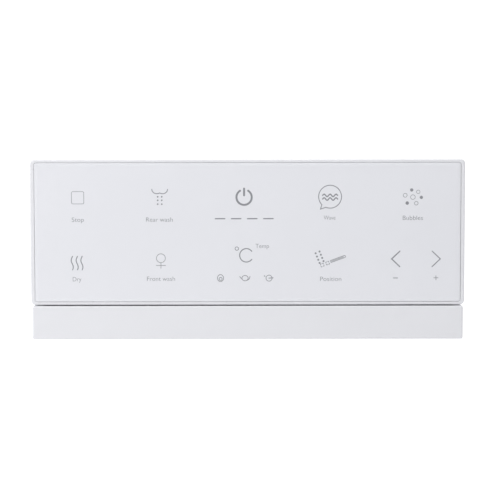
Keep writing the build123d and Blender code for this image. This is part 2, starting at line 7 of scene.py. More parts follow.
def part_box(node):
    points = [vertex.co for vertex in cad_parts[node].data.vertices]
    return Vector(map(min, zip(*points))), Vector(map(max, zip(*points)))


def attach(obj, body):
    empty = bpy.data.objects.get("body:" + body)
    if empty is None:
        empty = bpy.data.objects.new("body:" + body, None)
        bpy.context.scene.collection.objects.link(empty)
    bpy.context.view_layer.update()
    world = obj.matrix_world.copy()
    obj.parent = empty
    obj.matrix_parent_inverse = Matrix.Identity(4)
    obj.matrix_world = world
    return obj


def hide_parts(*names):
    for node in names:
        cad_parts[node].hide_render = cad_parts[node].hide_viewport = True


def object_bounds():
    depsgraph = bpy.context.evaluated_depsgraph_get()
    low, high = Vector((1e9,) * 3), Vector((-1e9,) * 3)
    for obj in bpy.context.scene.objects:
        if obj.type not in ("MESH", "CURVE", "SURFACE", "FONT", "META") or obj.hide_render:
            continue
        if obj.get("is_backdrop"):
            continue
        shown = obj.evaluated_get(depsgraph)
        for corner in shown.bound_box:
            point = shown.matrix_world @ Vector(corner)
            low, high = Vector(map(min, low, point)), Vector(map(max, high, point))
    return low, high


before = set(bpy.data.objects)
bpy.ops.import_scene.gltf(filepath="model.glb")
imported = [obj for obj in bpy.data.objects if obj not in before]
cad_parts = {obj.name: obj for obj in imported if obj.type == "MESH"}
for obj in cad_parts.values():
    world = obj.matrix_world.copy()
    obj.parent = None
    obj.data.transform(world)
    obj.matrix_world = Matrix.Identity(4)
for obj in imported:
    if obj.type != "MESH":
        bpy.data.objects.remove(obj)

cad_low, cad_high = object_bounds()
mm = 0.001

# ---- Camera --------------------------------------------------------------------------------
# It stands in front of the glass, almost level with it, and far enough away that the edges
# stay nearly parallel. It looks at the middle of the remote and its holder together.
lens = 105.2                             # mm, for a sensor 36 mm wide
camera_distance = 0.727
camera_height_angle = math.radians(3.5)
camera_roll = math.radians(-0.08)
aim_right, aim_down = 1.2 * mm, 0.25 * mm
glass_low, glass_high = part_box("front_glass")
aim = Vector((aim_right, glass_low.y, (cad_low.z + cad_high.z) / 2 - aim_down))

camera_data = bpy.data.cameras.new("camera")
camera_data.lens = lens
camera = bpy.data.objects.new("camera", camera_data)
bpy.context.collection.objects.link(camera)
sight = Vector((0, -math.cos(camera_height_angle), math.sin(camera_height_angle)))
camera.location = aim + sight * camera_distance
camera.rotation_mode = "QUATERNION"
turn = (-sight).to_track_quat("-Z", "Y").to_matrix()
camera.rotation_quaternion = (turn @ Matrix.Rotation(camera_roll, 3, "Z")).to_quaternion()
bpy.context.scene.camera = camera

# ---- Studio --------------------------------------------------------------------------------
# A white sweep of paper under and behind the holder, lit by large soft boxes. The key light
# stands to the left of the glass, so the front falls off gently towards the right.
paper_white, paper_rough, paper_glow = 0.86, 0.9, 0.55
room_light, room_tint = 0.62, (0.97, 0.98, 1.0, 1)
backdrop_glow = 1.1
white = (1, 1, 1, 1)


def soft_box(name, place, size, power):
    """Square area light that faces the middle of the object."""
    lamp = bpy.data.lights.new(name, "AREA")
    lamp.size = size
    lamp.energy = power
    holder = bpy.data.objects.new(name, lamp)
    bpy.context.collection.objects.link(holder)
    holder.location = place
    holder.rotation_mode = "QUATERNION"
    holder.rotation_quaternion = (aim - Vector(place)).to_track_quat("-Z", "Y")


soft_box("key_box", (-0.75, -0.65, 0.35), 0.6, 3.6)
soft_box("top_box", (-0.1, -0.1, 0.9), 0.7, 4.0)
soft_box("back_box", (-0.5, 1.0, 0.6), 0.8, 2.0)

world = bpy.data.worlds.new("studio")
bpy.context.scene.world = world
world.use_nodes = True
sky = world.node_tree
seen = sky.nodes["Background"]
seen.inputs["Color"].default_value = white
seen.inputs["Strength"].default_value = backdrop_glow
glow = sky.nodes.new("ShaderNodeBackground")
glow.inputs["Color"].default_value = room_tint
glow.inputs["Strength"].default_value = room_light
ray = sky.nodes.new("ShaderNodeLightPath")
choose = sky.nodes.new("ShaderNodeMixShader")
sky.links.new(ray.outputs["Is Camera Ray"], choose.inputs["Fac"])
sky.links.new(glow.outputs[0], choose.inputs[1])
sky.links.new(seen.outputs[0], choose.inputs[2])
sky.links.new(choose.outputs[0], sky.nodes["World Output"].inputs["Surface"])
bpy.context.scene.view_settings.view_transform = "Standard"


def shader(name, **finish):
    """New material with its tree and its main shader, whose inputs are set as finish says."""
    material = bpy.data.materials.new(name)
    material.use_nodes = True
    tree = material.node_tree
    skin = tree.nodes["Principled BSDF"]
    for socket, value in finish.items():
        skin.inputs[socket.replace("_", " ")].default_value = value
    return material, tree, skin


paper, tree, skin = shader("paper_sweep", Base_Color=(paper_white, paper_white, paper_white, 1),
                           Roughness=paper_rough, Emission_Color=white)
paper_ray = tree.nodes.new("ShaderNodeLightPath")
paper_lift = tree.nodes.new("ShaderNodeMath")
paper_lift.operation = "MULTIPLY"
paper_lift.inputs[1].default_value = paper_glow
tree.links.new(paper_ray.outputs["Is Camera Ray"], paper_lift.inputs[0])
tree.links.new(paper_lift.outputs[0], skin.inputs["Emission Strength"])
floor_drop = 0.09
floor_half = 6.0
level = cad_low.z - floor_drop
floor_mesh = bpy.data.meshes.new("paper_floor")
floor_mesh.from_pydata([(sx * floor_half, sy * floor_half, level) for sx, sy in
                        ((-1, -1), (1, -1), (1, 1), (-1, 1))], [], [(0, 1, 2, 3)])
floor_mesh.materials.append(paper)
paper_floor = bpy.data.objects.new("paper_floor", floor_mesh)
bpy.context.collection.objects.link(paper_floor)
paper_floor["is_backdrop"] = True

# ---- Holder base ---------------------------------------------------------------------------
# White ABS moulding with the back plate, the trough and the ribs behind the strip. The tool is
# spark-eroded, so the surface has a fine even grain and only a dull sheen. Ejector pins leave
# faint rings on the plate, and a raised arrow there says which way up it goes.
abs_white = (0.80, 0.80, 0.825)


def texture_place(tree, scale=(1, 1, 1)):
    """Coordinates on the piece itself, in metres, scaled."""
    place = tree.nodes.new("ShaderNodeTexCoord")
    size = tree.nodes.new("ShaderNodeMapping")
    size.inputs["Scale"].default_value = scale
    tree.links.new(place.outputs["Object"], size.inputs["Vector"])
    return size.outputs["Vector"]


def noise(tree, vector, grain, detail=3.0, roughness=0.55):
    """Cloudy noise with grains of a given size in metres; returns the value."""
    cloud = tree.nodes.new("ShaderNodeTexNoise")
    cloud.inputs["Scale"].default_value = 1 / grain
    cloud.inputs["Detail"].default_value = detail
    cloud.inputs["Roughness"].default_value = roughness
    tree.links.new(vector, cloud.inputs["Vector"])
    return cloud.outputs["Fac"]


def remap(tree, value, low, high, start=0.3, end=0.7):
    """Map a value from start..end to low..high."""
    span = tree.nodes.new("ShaderNodeMapRange")
    for socket, number in (("From Min", start), ("From Max", end), ("To Min", low),
                           ("To Max", high)):
        span.inputs[socket].default_value = number
    tree.links.new(value, span.inputs["Value"])
    return span.outputs["Result"]


def blend_colours(tree, factor, first, second):
    """Mix of two colours by a value."""
    mix = tree.nodes.new("ShaderNodeMix")
    mix.data_type = "RGBA"
    mix.inputs[6].default_value = (*first, 1)
    mix.inputs[7].default_value = (*second, 1)
    tree.links.new(factor, mix.inputs[0])
    return mix.outputs[2]


def bump(tree, height, depth):
    """Bump from a height value; depth is in metres."""
    relief = tree.nodes.new("ShaderNodeBump")
    relief.inputs["Strength"].default_value = 1.0
    relief.inputs["Distance"].default_value = depth
    tree.links.new(height, relief.inputs["Height"])
    tree.links.new(relief.outputs["Normal"], tree.nodes["Principled BSDF"].inputs["Normal"])


def shaded(colour, share):
    """The same colour, darker or lighter by a share."""
    return tuple(c * share for c in colour)


def clouded(name, first, second, grain, rough, depth=0.0, detail=3.0, contrast=0.55,
            stretch=(1, 1, 1), **finish):
    """Material in two close colours. One cloudy noise sets the colour and the sheen, and the
    bump too where depth is set."""
    material, tree, skin = shader(name, **finish)
    clouds = noise(tree, texture_place(tree, stretch), grain, detail, contrast)
    tree.links.new(blend_colours(tree, clouds, first, second), skin.inputs["Base Color"])
    tree.links.new(remap(tree, clouds, *rough), skin.inputs["Roughness"])
    if depth:
        bump(tree, clouds, depth)
    return material


def moulded_plastic(name, colour, grain, depth, rough, coat=0.0):
    """Injection-moulded plastic: even grain from the tool, faint flow clouds and sheen patches."""
    material = clouded(name, shaded(colour, 0.975), colour, 30 * mm, rough, detail=2.0,
                       IOR=1.53, Coat_Weight=coat, Coat_Roughness=0.18)
    tree = material.node_tree
    bump(tree, noise(tree, texture_place(tree), grain, 2.0), depth)
    return material


weld_reach = 0.002 * mm
sharp_angle, edge_angle = math.radians(35), math.radians(40)


def dress(node, material, edge=0.0):
    """Give a CAD node its finish, and break its sharp edges a little where edge is set."""
    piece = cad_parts[node]
    piece.data.materials.clear()
    piece.data.materials.append(material)
    if edge:
        piece.modifiers.new("weld", "WELD").merge_threshold = weld_reach
        rounding = piece.modifiers.new("edge", "BEVEL")
        rounding.width = edge
        rounding.segments = 2
        rounding.limit_method = "ANGLE"
        rounding.angle_limit = edge_angle
        piece.modifiers.new("normals", "WEIGHTED_NORMAL").keep_sharp = True


def set_piece(name, shape, material, body):
    """Close a mesh as a named piece of one body, smooth but for its sharp edges."""
    bmesh.ops.recalc_face_normals(shape, faces=shape.faces)
    for facet in shape.faces:
        facet.smooth = True
    for edge in shape.edges:
        edge.smooth = edge.calc_face_angle(0) < sharp_angle
    mesh = bpy.data.meshes.new(name)
    shape.to_mesh(mesh)
    shape.free()
    mesh.materials.append(material)
    piece = bpy.data.objects.new(name, mesh)
    bpy.context.collection.objects.link(piece)
    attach(piece, body)
    return piece


stroke_step = 0.0004 * mm
end_round = [math.radians(a) for a in (25, 50, 75)]
sharpest_miter = 0.4


class ThinLayer:
    """Thin closed bodies between two upright planes, near and far. Sizes are millimetres from a
    centre; each new stroke stands a hair prouder, so that strokes can cross."""

    def __init__(self, centre_x, centre_z, near, far):
        self.x, self.z, self.near, self.far = centre_x, centre_z, near, far
        self.shape = bmesh.new()
        self.hair = stroke_step * (1 if near > far else -1)

    def rows(self, *lines):
        """The points of each line, on the near plane and on the far plane."""
        self.near += self.hair
        return [[[self.shape.verts.new((self.x + px * mm, y, self.z + pz * mm))
                  for px, pz in line] for line in lines] for y in (self.near, self.far)]

    def line(self, points, width, closed=False):
        """Ribbon of even width along points, with round ends unless it is closed."""
        half = width / 2
        path = [Vector(p) for p in points]
        halves = [half] * len(path)
        if not closed:
            first = (path[0] - path[1]).normalized()
            last = (path[-1] - path[-2]).normalized()
            path = ([path[0] + first * half * math.sin(a) for a in reversed(end_round)] + path
                    + [path[-1] + last * half * math.sin(a) for a in end_round])
            ends = [half * math.cos(a) for a in end_round]
            halves = ends[::-1] + halves + ends
        n = len(path)
        left, right = [], []
        for i in range(n):
            before = path[i - 1] if closed or i else path[0]
            after = path[(i + 1) % n] if closed or i < n - 1 else path[-1]
            step_in, step_out = path[i] - before, after - path[i]
            step_in = (step_in if step_in.length > 1e-9 else step_out).normalized()
            step_out = (step_out if step_out.length > 1e-9 else step_in).normalized()
            along = (step_in + step_out).normalized()
            miter = max(sharpest_miter, along.dot(step_in))
            side = Vector((-along.y, along.x)) * halves[i] / miter
            left.append(path[i] + side)
            right.append(path[i] - side)
        (fl, fr), (bl, br) = self.rows(left, right)
        make = self.shape.faces.new
        for i in range(n if closed else n - 1):
            j = (i + 1) % n
            make((fl[i], fl[j], fr[j], fr[i]))
            make((br[i], br[j], bl[j], bl[i]))
            make((fl[j], fl[i], bl[i], bl[j]))
            make((fr[i], fr[j], br[j], br[i]))
        if not closed:
            make((fl[0], fr[0], br[0], bl[0]))
            make((fr[-1], fl[-1], bl[-1], br[-1]))

    def arc(self, x, z, radius, width, start=0, end=360, squash=1.0):
        """Arc in degrees from the +X side, anticlockwise; a full turn is a closed ring."""
        closed = end - start >= 360
        steps = max(6, int((end - start) / 10))
        turns = [math.radians(start + (end - start) * i / steps)
                 for i in range(steps + (not closed))]
        self.line([(x + radius * math.cos(a), z + radius * squash * math.sin(a)) for a in turns],
                  width, closed)

    def plate(self, outline):
        """Solid plate with a convex outline."""
        (front,), (back,) = self.rows(outline)
        self.shape.faces.new(front)
        self.shape.faces.new(back[::-1])
        for i in range(len(front)):
            self.shape.faces.new((front[i], front[i - 1], back[i - 1], back[i]))

    def dot(self, x, z, radius, steps=20):
        """Solid disc."""
        turns = [math.tau * i / steps for i in range(steps)]
        self.plate([(x + radius * math.cos(a), z + radius * math.sin(a)) for a in turns])


holder_plastic = moulded_plastic("holder_plastic", abs_white, 0.25 * mm, 0.008 * mm, (0.45, 0.56))
dress("dock_base", holder_plastic)

plate_thick = 4.0 * mm
plate_face = cad_high.y - plate_thick
mark_rise, mark_root = 0.2 * mm, 0.1 * mm
pin_ring, pin_line = 2.5, 0.18
pin_columns, pin_rows = (-62, -25, 25, 62), (16, -14)
plate_marks = ThinLayer(0, 0, plate_face - mark_rise, plate_face + mark_root)
for x in pin_columns:
    for z in pin_rows:
        plate_marks.arc(x, z, pin_ring, pin_line)
arrow_tip, arrow_wing, arrow_foot, arrow_gap, arrow_line = 9.0, 4.0, -6.0, 1.2, 1.0
plate_marks.line([(-arrow_wing, arrow_tip - arrow_wing), (0, arrow_tip),
                  (arrow_wing, arrow_tip - arrow_wing)], arrow_line)
plate_marks.line([(0, arrow_tip - arrow_gap), (0, arrow_foot)], arrow_line)
set_piece("holder_plate_marks", plate_marks.shape, holder_plastic, "dock")

# ---- Holder strip --------------------------------------------------------------------------
# The one part of the holder that faces the room: a channel-shaped white ABS moulding, polished
# a little finer than the base, snapped over the trough from the front.
strip_plastic = moulded_plastic("strip_plastic", abs_white, 0.4 * mm, 0.003 * mm, (0.30, 0.38),
                                0.25)
dress("dock_strip", strip_plastic)

# ---- Tape pads -----------------------------------------------------------------------------
# Two rectangles of closed-cell foam tape in the recesses of the back plate, still under their
# waxed paper liners. Each liner is slit across the middle and has a tab to pull it off by.


def foam(name, colour, cell):
    """Soft foam: rounded cells of one size."""
    material, tree, skin = shader(name, Roughness=0.85)
    cells = tree.nodes.new("ShaderNodeTexVoronoi")
    cells.inputs["Scale"].default_value = 1 / cell
    tree.links.new(texture_place(tree), cells.inputs["Vector"])
    depth = cells.outputs["Distance"]
    tree.links.new(blend_colours(tree, remap(tree, depth, 1, 0, 0, 0.7), shaded(colour, 0.7),
                                 colour), skin.inputs["Base Color"])
    bump(tree, depth, 0.15 * cell)
    return material


smallest_corner = 0.05 * mm


def rounded_outline(low, high, radius, y, inset=0.0, steps=6):
    """Points of a rounded rectangle on an upright plane, drawn in by an inset."""
    radius = max(radius - inset, smallest_corner)
    points = []
    for cx, cz, start in ((high.x - inset - radius, high.z - inset - radius, 0),
                          (low.x + inset + radius, high.z - inset - radius, 90),
                          (low.x + inset + radius, low.z + inset + radius, 180),
                          (high.x - inset - radius, low.z + inset + radius, 270)):
        for step in range(steps + 1):
            a = math.radians(start + 90 * step / steps)
            points.append(Vector((cx + radius * math.cos(a), y, cz + radius * math.sin(a))))
    return points


def loft(shape, rings):
    """Skin over rings that have the same number of points, capped at both ends."""
    rows = [[shape.verts.new(p) for p in ring] for ring in rings]
    for lower, upper in zip(rows, rows[1:]):
        for i in range(len(lower)):
            shape.faces.new((lower[i - 1], lower[i], upper[i], upper[i - 1]))
    shape.faces.new(rows[0][::-1])
    shape.faces.new(rows[-1])


def soft_block(shape, low, high, corner, edge, waist=0.0):
    """Block of foam with rounded edges, drawn in a little at half its depth."""
    deep = high.y - low.y
    profile = [(0, edge), (0.3 * edge / deep, 0.3 * edge), (edge / deep, 0), (0.5, waist),
               (1 - edge / deep, 0), (1 - 0.3 * edge / deep, 0.3 * edge), (1, edge)]
    loft(shape, [rounded_outline(low, high, corner, low.y + share * deep, inset)
                 for share, inset in profile])


def paper_sheet(shape, columns, rows, knot, *where):
    """Grid of faces whose knots are where knot(column, row, *where) says."""
    knots = [[shape.verts.new(knot(i, j, *where)) for i in range(columns + 1)]
             for j in range(rows + 1)]
    for a, b in zip(knots, knots[1:]):
        for i in range(columns):
            shape.faces.new((a[i], a[i + 1], b[i + 1], b[i]))


pads_low, pads_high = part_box("wall_tape_pads")
pad_width, pad_clear = 26.0 * mm, 0.05 * mm
pad_corner, pad_edge, pad_waist = 1.2 * mm, 0.25 * mm, 0.2 * mm
liner_thick, liner_over = 0.08 * mm, 0.4 * mm
liner_lift, liner_ripple = 0.12 * mm, 0.05 * mm
liner_columns, liner_rows = 14, 20
slit_half, slit_wave, slit_period = 0.15 * mm, 0.5 * mm, 7
tab_width, tab_length, tab_curl, tab_taper = 9 * mm, 7 * mm, 0.8 * mm, 0.25
tab_columns, tab_rows = 6, 5


def liner_knot(i, j, left, side, half):
    """Knot of one half of a liner, which is waved along the slit and never quite flat."""
    wave = half * slit_wave * math.sin(math.tau * i / slit_period)
    far = (pads_high.z if half > 0 else -pads_low.z) + liner_over
    return (left - liner_over + (pad_width + 2 * liner_over) * i / liner_columns,
            liner_lift + liner_ripple * math.sin(i * 0.9 + j * 0.5 + side + half),
            half * (slit_half + wave + (far - wave) * j / liner_rows))


def tab_knot(i, j, left):
    """Knot of a pull tab, which narrows towards its end and curls off the pad."""
    out = j / tab_rows
    return (left + pad_width / 2
            + (i / tab_columns - 0.5) * tab_width * (1 - tab_taper * out ** 3),
            liner_lift + tab_curl * out ** 2, pads_high.z + liner_over + tab_length * out)


tape_foam = foam("tape_foam", (0.62, 0.64, 0.66), 0.5 * mm)
pads = bmesh.new()
liners = bmesh.new()
for side in (-1, 1):
    left = pads_low.x if side < 0 else pads_high.x - pad_width
    soft_block(pads, Vector((left, pads_low.y + pad_clear, pads_low.z)),
               Vector((left + pad_width, pads_high.y - pad_clear, pads_high.z)),
               pad_corner, pad_edge, pad_waist)
    paper_sheet(liners, liner_columns, liner_rows, liner_knot, left, side, -1)
    paper_sheet(liners, liner_columns, liner_rows, liner_knot, left, side, 1)
    paper_sheet(liners, tab_columns, tab_rows, tab_knot, left)
tape_pads = set_piece("tape_pad_foam", pads, tape_foam, "dock")
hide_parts("wall_tape_pads")

waxed_paper, tree, skin = shader("waxed_paper", Sheen_Weight=0.1)
fibres = noise(tree, texture_place(tree, (1, 1, 3)), 0.8 * mm, 4.0)
tree.links.new(blend_colours(tree, fibres, (0.58, 0.66, 0.74), (0.70, 0.77, 0.84)),
               skin.inputs["Base Color"])
tree.links.new(remap(tree, noise(tree, texture_place(tree), 6 * mm), 0.22, 0.38),
               skin.inputs["Roughness"])
bump(tree, fibres, 0.02 * mm)
liner = set_piece("tape_pad_liners", liners, waxed_paper, "dock")
thickness = liner.modifiers.new("paper", "SOLIDIFY")
thickness.thickness = liner_thick
thickness.offset = 0

# ---- Rest pads -----------------------------------------------------------------------------
# Two grey silicone pads glued to the trough's floor. The remote's tongue lands on their cross
# ribs, so it neither clicks nor rattles.


def silicone(name, colour):
    """Matt rubber with dust-fine texture."""
    material = clouded(name, shaded(colour, 0.86), colour, 2 * mm, (0.55, 0.75), detail=4.0,
                       Sheen_Weight=0.15)
    tree = material.node_tree
    bump(tree, noise(tree, texture_place(tree), 0.15 * mm), 0.01 * mm)
    return material


def swept(shape, path, section, across=None):
    """Sweep a section of (across, up) points along a path; across holds the section upright."""
    side = across
    rings = []
    for i, point in enumerate(path):
        ahead = (path[min(i + 1, len(path) - 1)] - path[max(i - 1, 0)]).normalized()
        if across is None:
            side = ahead.orthogonal() if side is None else side - ahead * side.dot(ahead)
            side = side.normalized()
        up = ahead.cross(side)
        rings.append([point + side * u + up * v for u, v in section])
    loft(shape, rings)


def round_section(radius, steps=10):
    """Points of a circle for a wire."""
    turns = [math.tau * i / steps for i in range(steps)]
    return [(radius * math.cos(a), radius * math.sin(a)) for a in turns]


grey_silicone = silicone("grey_silicone", (0.42, 0.42, 0.43))
dress("rest_pads", grey_silicone, 0.2 * mm)
rest_low, rest_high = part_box("rest_pads")
rest_length, rest_ribs = 20.0 * mm, 6
rib_round, rib_pitch, rib_inset = 0.25 * mm, 2.2 * mm, 0.9 * mm
ribs = bmesh.new()
for side in (-1, 1):
    for i in range(rest_ribs):
        x = side * (rest_high.x - rest_length / 2) + (i - (rest_ribs - 1) / 2) * rib_pitch
        swept(ribs, [Vector((x, rest_low.y + rib_inset, rest_high.z)),
                     Vector((x, rest_high.y - rib_inset, rest_high.z))], round_section(rib_round))
set_piece("rest_pad_ribs", ribs, grey_silicone, "dock")

# ---- Front frame ---------------------------------------------------------------------------
# Satin white ABS frame of the remote, seen as a thin rim all round the glass. Its inside carries
# the ledge for the glass and the four screw bosses.
frame_plastic = moulded_plastic("frame_plastic", abs_white, 0.5 * mm, 0.002 * mm, (0.24, 0.31),
                                0.35)
dress("front_frame", frame_plastic)

# ---- Glass tape ----------------------------------------------------------------------------
# Thin die-cut frame of black foam tape. It lies on the ledge of the front frame and holds the
# glass there by its printed border.
dress("glass_tape", foam("black_tape", (0.035, 0.035, 0.038), 0.25 * mm))

# ---- Front glass ---------------------------------------------------------------------------
# One sheet of safety glass, printed white from behind. Its edge is ground to a shallow slope
# that ends in a tight round, so the border of the sheet catches the light as a thin line.
face = glass_low.y
slope_width, slope_depth, slope_curve = 1.5 * mm, 0.14 * mm, 1.4
edge_round, back_chamfer, glass_corner = 0.18 * mm, 0.25 * mm, 1.0 * mm
corner_steps = 8
edge_grow = 0.11 * mm          # the real sheet fills its groove a little more than the plain one
sheet_low = glass_low - Vector((edge_grow, 0, edge_grow))
sheet_high = glass_high + Vector((edge_grow, 0, edge_grow))


def glass_ring(y, inset):
    """Outline of the sheet at one depth."""
    return rounded_outline(sheet_low, sheet_high, glass_corner, y, inset, corner_steps)


rings = [glass_ring(glass_high.y, back_chamfer), glass_ring(glass_high.y - back_chamfer, 0)]
for step in range(5):
    a = math.radians(90 * step / 4)
    rings.append(glass_ring(face + slope_depth + edge_round * (1 - math.sin(a)),
                            edge_round * (1 - math.cos(a))))
for share in (0.35, 0.7, 0.92, 1.0):
    rings.append(glass_ring(face + slope_depth * (1 - share) ** slope_curve,
                            edge_round + slope_width * share))
sheet = bmesh.new()
loft(sheet, rings)

printed_white, tree, skin = shader("printed_white_glass", Specular_IOR_Level=0.4,
                                   Coat_Weight=1.0, Coat_Roughness=0.03, Coat_IOR=1.52)
clouds = noise(tree, texture_place(tree), 50 * mm)
tree.links.new(blend_colours(tree, clouds, (0.795, 0.797, 0.83), (0.815, 0.817, 0.85)),
               skin.inputs["Base Color"])
smears = noise(tree, texture_place(tree, (1, 1, 0.35)), 20 * mm, 5.0, 0.65)
tree.links.new(remap(tree, smears, 0.22, 0.25), skin.inputs["Roughness"])
glass_sheet = set_piece("glass_sheet", sheet, printed_white, "remote")
glass_sheet.modifiers.new("normals", "WEIGHTED_NORMAL").keep_sharp = True
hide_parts("front_glass")

# ---- Printed legends -----------------------------------------------------------------------
# Grey ink symbols and words, one group for each touch key. Places are measured from the middle
# of the glass; each group is a very thin closed layer so that it reads at any angle.
middle = (glass_low + glass_high) / 2
print_up = 0.45 * mm         # the print sits this much above the middle of the sheet
ink_lift, ink_sink = 0.02 * mm, 0.03 * mm
hairline, fine, thin, bold = 0.25, 0.34, 0.42, 1.0
type_capital = 0.7           # height of the capitals as a share of the type's size
type_thinning = -0.008
type_depth = 0.5
knot_reach = 0.0001 * mm
ink_grey = clouded("ink_grey", (0.235, 0.24, 0.26), (0.29, 0.295, 0.315), 0.2 * mm, (0.3, 0.4),
                   Coat_Weight=1.0, Coat_Roughness=0.03)


class Legend(ThinLayer):
    """One printed group on the face of the glass, about its own centre."""

    def __init__(self, name, x, z):
        super().__init__(middle.x + x * mm, middle.z + print_up + z * mm,
                         face - ink_lift, face + ink_sink)
        self.name = name

    def word(self, text, x, z, width, height=2.2):
        """Sans-serif word, fitted to a width and to the height of its capitals."""
        type_curve = bpy.data.curves.new("type", "FONT")
        type_curve.body = text
        type_curve.extrude = type_depth
        type_curve.offset = type_thinning
        setter = bpy.data.objects.new("type", type_curve)
        bpy.context.collection.objects.link(setter)
        bpy.context.view_layer.update()
        mesh = bpy.data.meshes.new_from_object(setter)
        bpy.data.objects.remove(setter)
        xs = [v.co.x for v in mesh.vertices]
        stretch = width / (max(xs) - min(xs))
        first = len(self.shape.verts)
        self.shape.from_mesh(mesh)
        self.shape.verts.ensure_lookup_table()
        letters = self.shape.verts[first:]
        for v in letters:
            px = x + (v.co.x - (max(xs) + min(xs)) / 2) * stretch
            pz = z + (v.co.y - type_capital / 2) * height / type_capital
            v.co = (self.x + px * mm, self.near if v.co.z > 0 else self.far, self.z + pz * mm)
        bmesh.ops.remove_doubles(self.shape, verts=letters, dist=knot_reach)
        bpy.data.meshes.remove(mesh)

    def printed(self):
        """Close the group as a piece of the remote."""
        return set_piece(self.name, self.shape, ink_grey, "remote")


def rounded_rectangle(x, z, half_width, half_height, corner):
    """Points of a rounded rectangle about a centre, for a closed stroke."""
    points = []
    for sx, sz, start in ((1, 1, 0), (-1, 1, 90), (-1, -1, 180), (1, -1, 270)):
        for step in range(5):
            a = math.radians(start + 22.5 * step)
            points.append((x + sx * (half_width - corner) + corner * math.cos(a),
                           z + sz * (half_height - corner) + corner * math.sin(a)))
    return points


upper_row, lower_row = 17.1, -15.4

stop = Legend("legend_stop", -84.35, upper_row - 0.25)
half_square, square_corner = 3.05, 0.65
stop.line(rounded_rectangle(0, 0, half_square, half_square, square_corner), hairline, closed=True)
stop.word("Stop", 0, -10.85, 6.0)
stop.printed()

rear = Legend("legend_rear_wash", -43.6, upper_row)
cheek_x, cheek_z, cheek_wide, cheek_high, cheek_sweep = -1.42, 3.9, 2.48, 2.2, 125
cheek_turns = [math.radians(180 + cheek_sweep * i / 12) for i in range(13)]
cheek = [(cheek_x + cheek_wide * math.cos(a), cheek_z + cheek_high * math.sin(a))
         for a in cheek_turns]
rear.line(cheek, thin)
rear.line([(-x, z) for x, z in cheek], thin)
drop_side, drop_round = 1.0, 0.42
for side in (-drop_side, drop_side):
    for z in (0.2, -1.6, -3.5):
        rear.dot(side, z, drop_round)
rear.word("Rear wash", -0.2, -11.1, 13.2)
rear.printed()

power = Legend("legend_power", -1.7, 17.35)
ring_down, power_round, half_gap = 0.35, 3.8, 32
power.arc(0, -ring_down, power_round, bold, 90 + half_gap, 450 - half_gap)
power.line([(0, 0.6), (0, 3.9)], bold)
power.printed()

level_bars = Legend("legend_level_bars", -1.65, 6.35)
bar_pitch, bar_half, bar_line = 8.0, 2.35, 0.58
for i in range(4):
    x = (i - 1.5) * bar_pitch
    level_bars.line([(x - bar_half, 0), (x + bar_half, 0)], bar_line)
level_bars.printed()

wave = Legend("legend_wave", 41.0, 17.2)
bubble_round, tail_tip = 5.68, (-4.75, -6.15)
outline = [(bubble_round * math.cos(math.radians(a)), bubble_round * math.sin(math.radians(a)))
           for a in range(-112, 229, 8)]
wave.line([tail_tip] + outline, thin, closed=True)
wave_half, wave_high, wave_count, wave_line = 3.7, 0.62, 2.5, 0.62
for row in (-1.15, 0.65):
    wave.line([(-wave_half + 2 * wave_half * i / 24,
                row + wave_high * math.sin(math.tau * wave_count * i / 24))
               for i in range(25)], wave_line)
wave.word("Wave", -0.2, -10.35, 5.8, 2.1)
wave.printed()

bubbles = Legend("legend_bubbles", 82.25, upper_row - 0.5)
full_bubbles = ((-0.75, 3.9, 0.82), (4.05, 0.2, 0.82), (-2.95, -2.6, 0.87))
open_bubbles = ((2.5, 2.95, 0.85), (-3.95, 1.25, 0.95), (-0.15, 0.35, 1.15), (1.55, -2.7, 0.9))
for x, z, radius in full_bubbles:
    bubbles.dot(x, z, radius)
for x, z, radius in open_bubbles:
    bubbles.arc(x, z, radius, hairline)
bubbles.word("Bubbles", -0.1, -9.9, 10.0)
bubbles.printed()

dry = Legend("legend_dry", -84.85, lower_row - 0.3)
steam_sway, steam_top, steam_length, steam_line = 0.5, 3.4, 6.7, 0.5
for x in (-2.45, 0, 2.35):
    dry.line([(x - steam_sway * math.sin(math.tau * (i / 18 - 0.05)),
               steam_top - steam_length * i / 18) for i in range(19)], steam_line)
dry.word("Dry", -0.1, -7.95, 4.3)
dry.printed()

front = Legend("legend_front_wash", -43.15, lower_row)
sign_round, sign_line = 2.2, 0.3
front.arc(0, 2.1, sign_round, sign_line)
front.line([(0, -0.2), (0, -2.85)], sign_line)
front.line([(-2.3, -1.5), (2.3, -1.5)], sign_line)
front.word("Front wash", 0.0, -8.1, 13.9)
front.printed()

warmth = Legend("legend_temperature", -0.6, -11.9)
degree_round, letter_round, letter_line, letter_gap = 0.85, 3.35, 0.52, 37
warmth.arc(-4.75, 3.35, degree_round, fine)
warmth.arc(0, 0, letter_round, letter_line, letter_gap, 360 - letter_gap)
warmth.word("Temp", 7.9, 4.7, 6.7, 2.1)
warmth.printed()

marks = Legend("legend_marks", -1.3, -23.3)
marks.arc(-12.2, 0.05, 1.5, fine, squash=1.15)
marks.arc(-12.15, -0.35, 0.75, fine)
marks.arc(0, 0, 1.55, fine, squash=0.85)
marks.line([(-2.6, 0.85), (-1.9, -0.1), (-1.2, -0.75)], fine)
marks.line([(2.5, 0.85), (2.15, -0.3), (1.3, -1.0)], fine)
marks.arc(11.95, 0, 1.5, fine)
marks.line([(11.9, 0), (14.0, 0.15)], thin)
marks.line([(9.6, 1.2), (9.9, 0.9)], thin)
marks.printed()

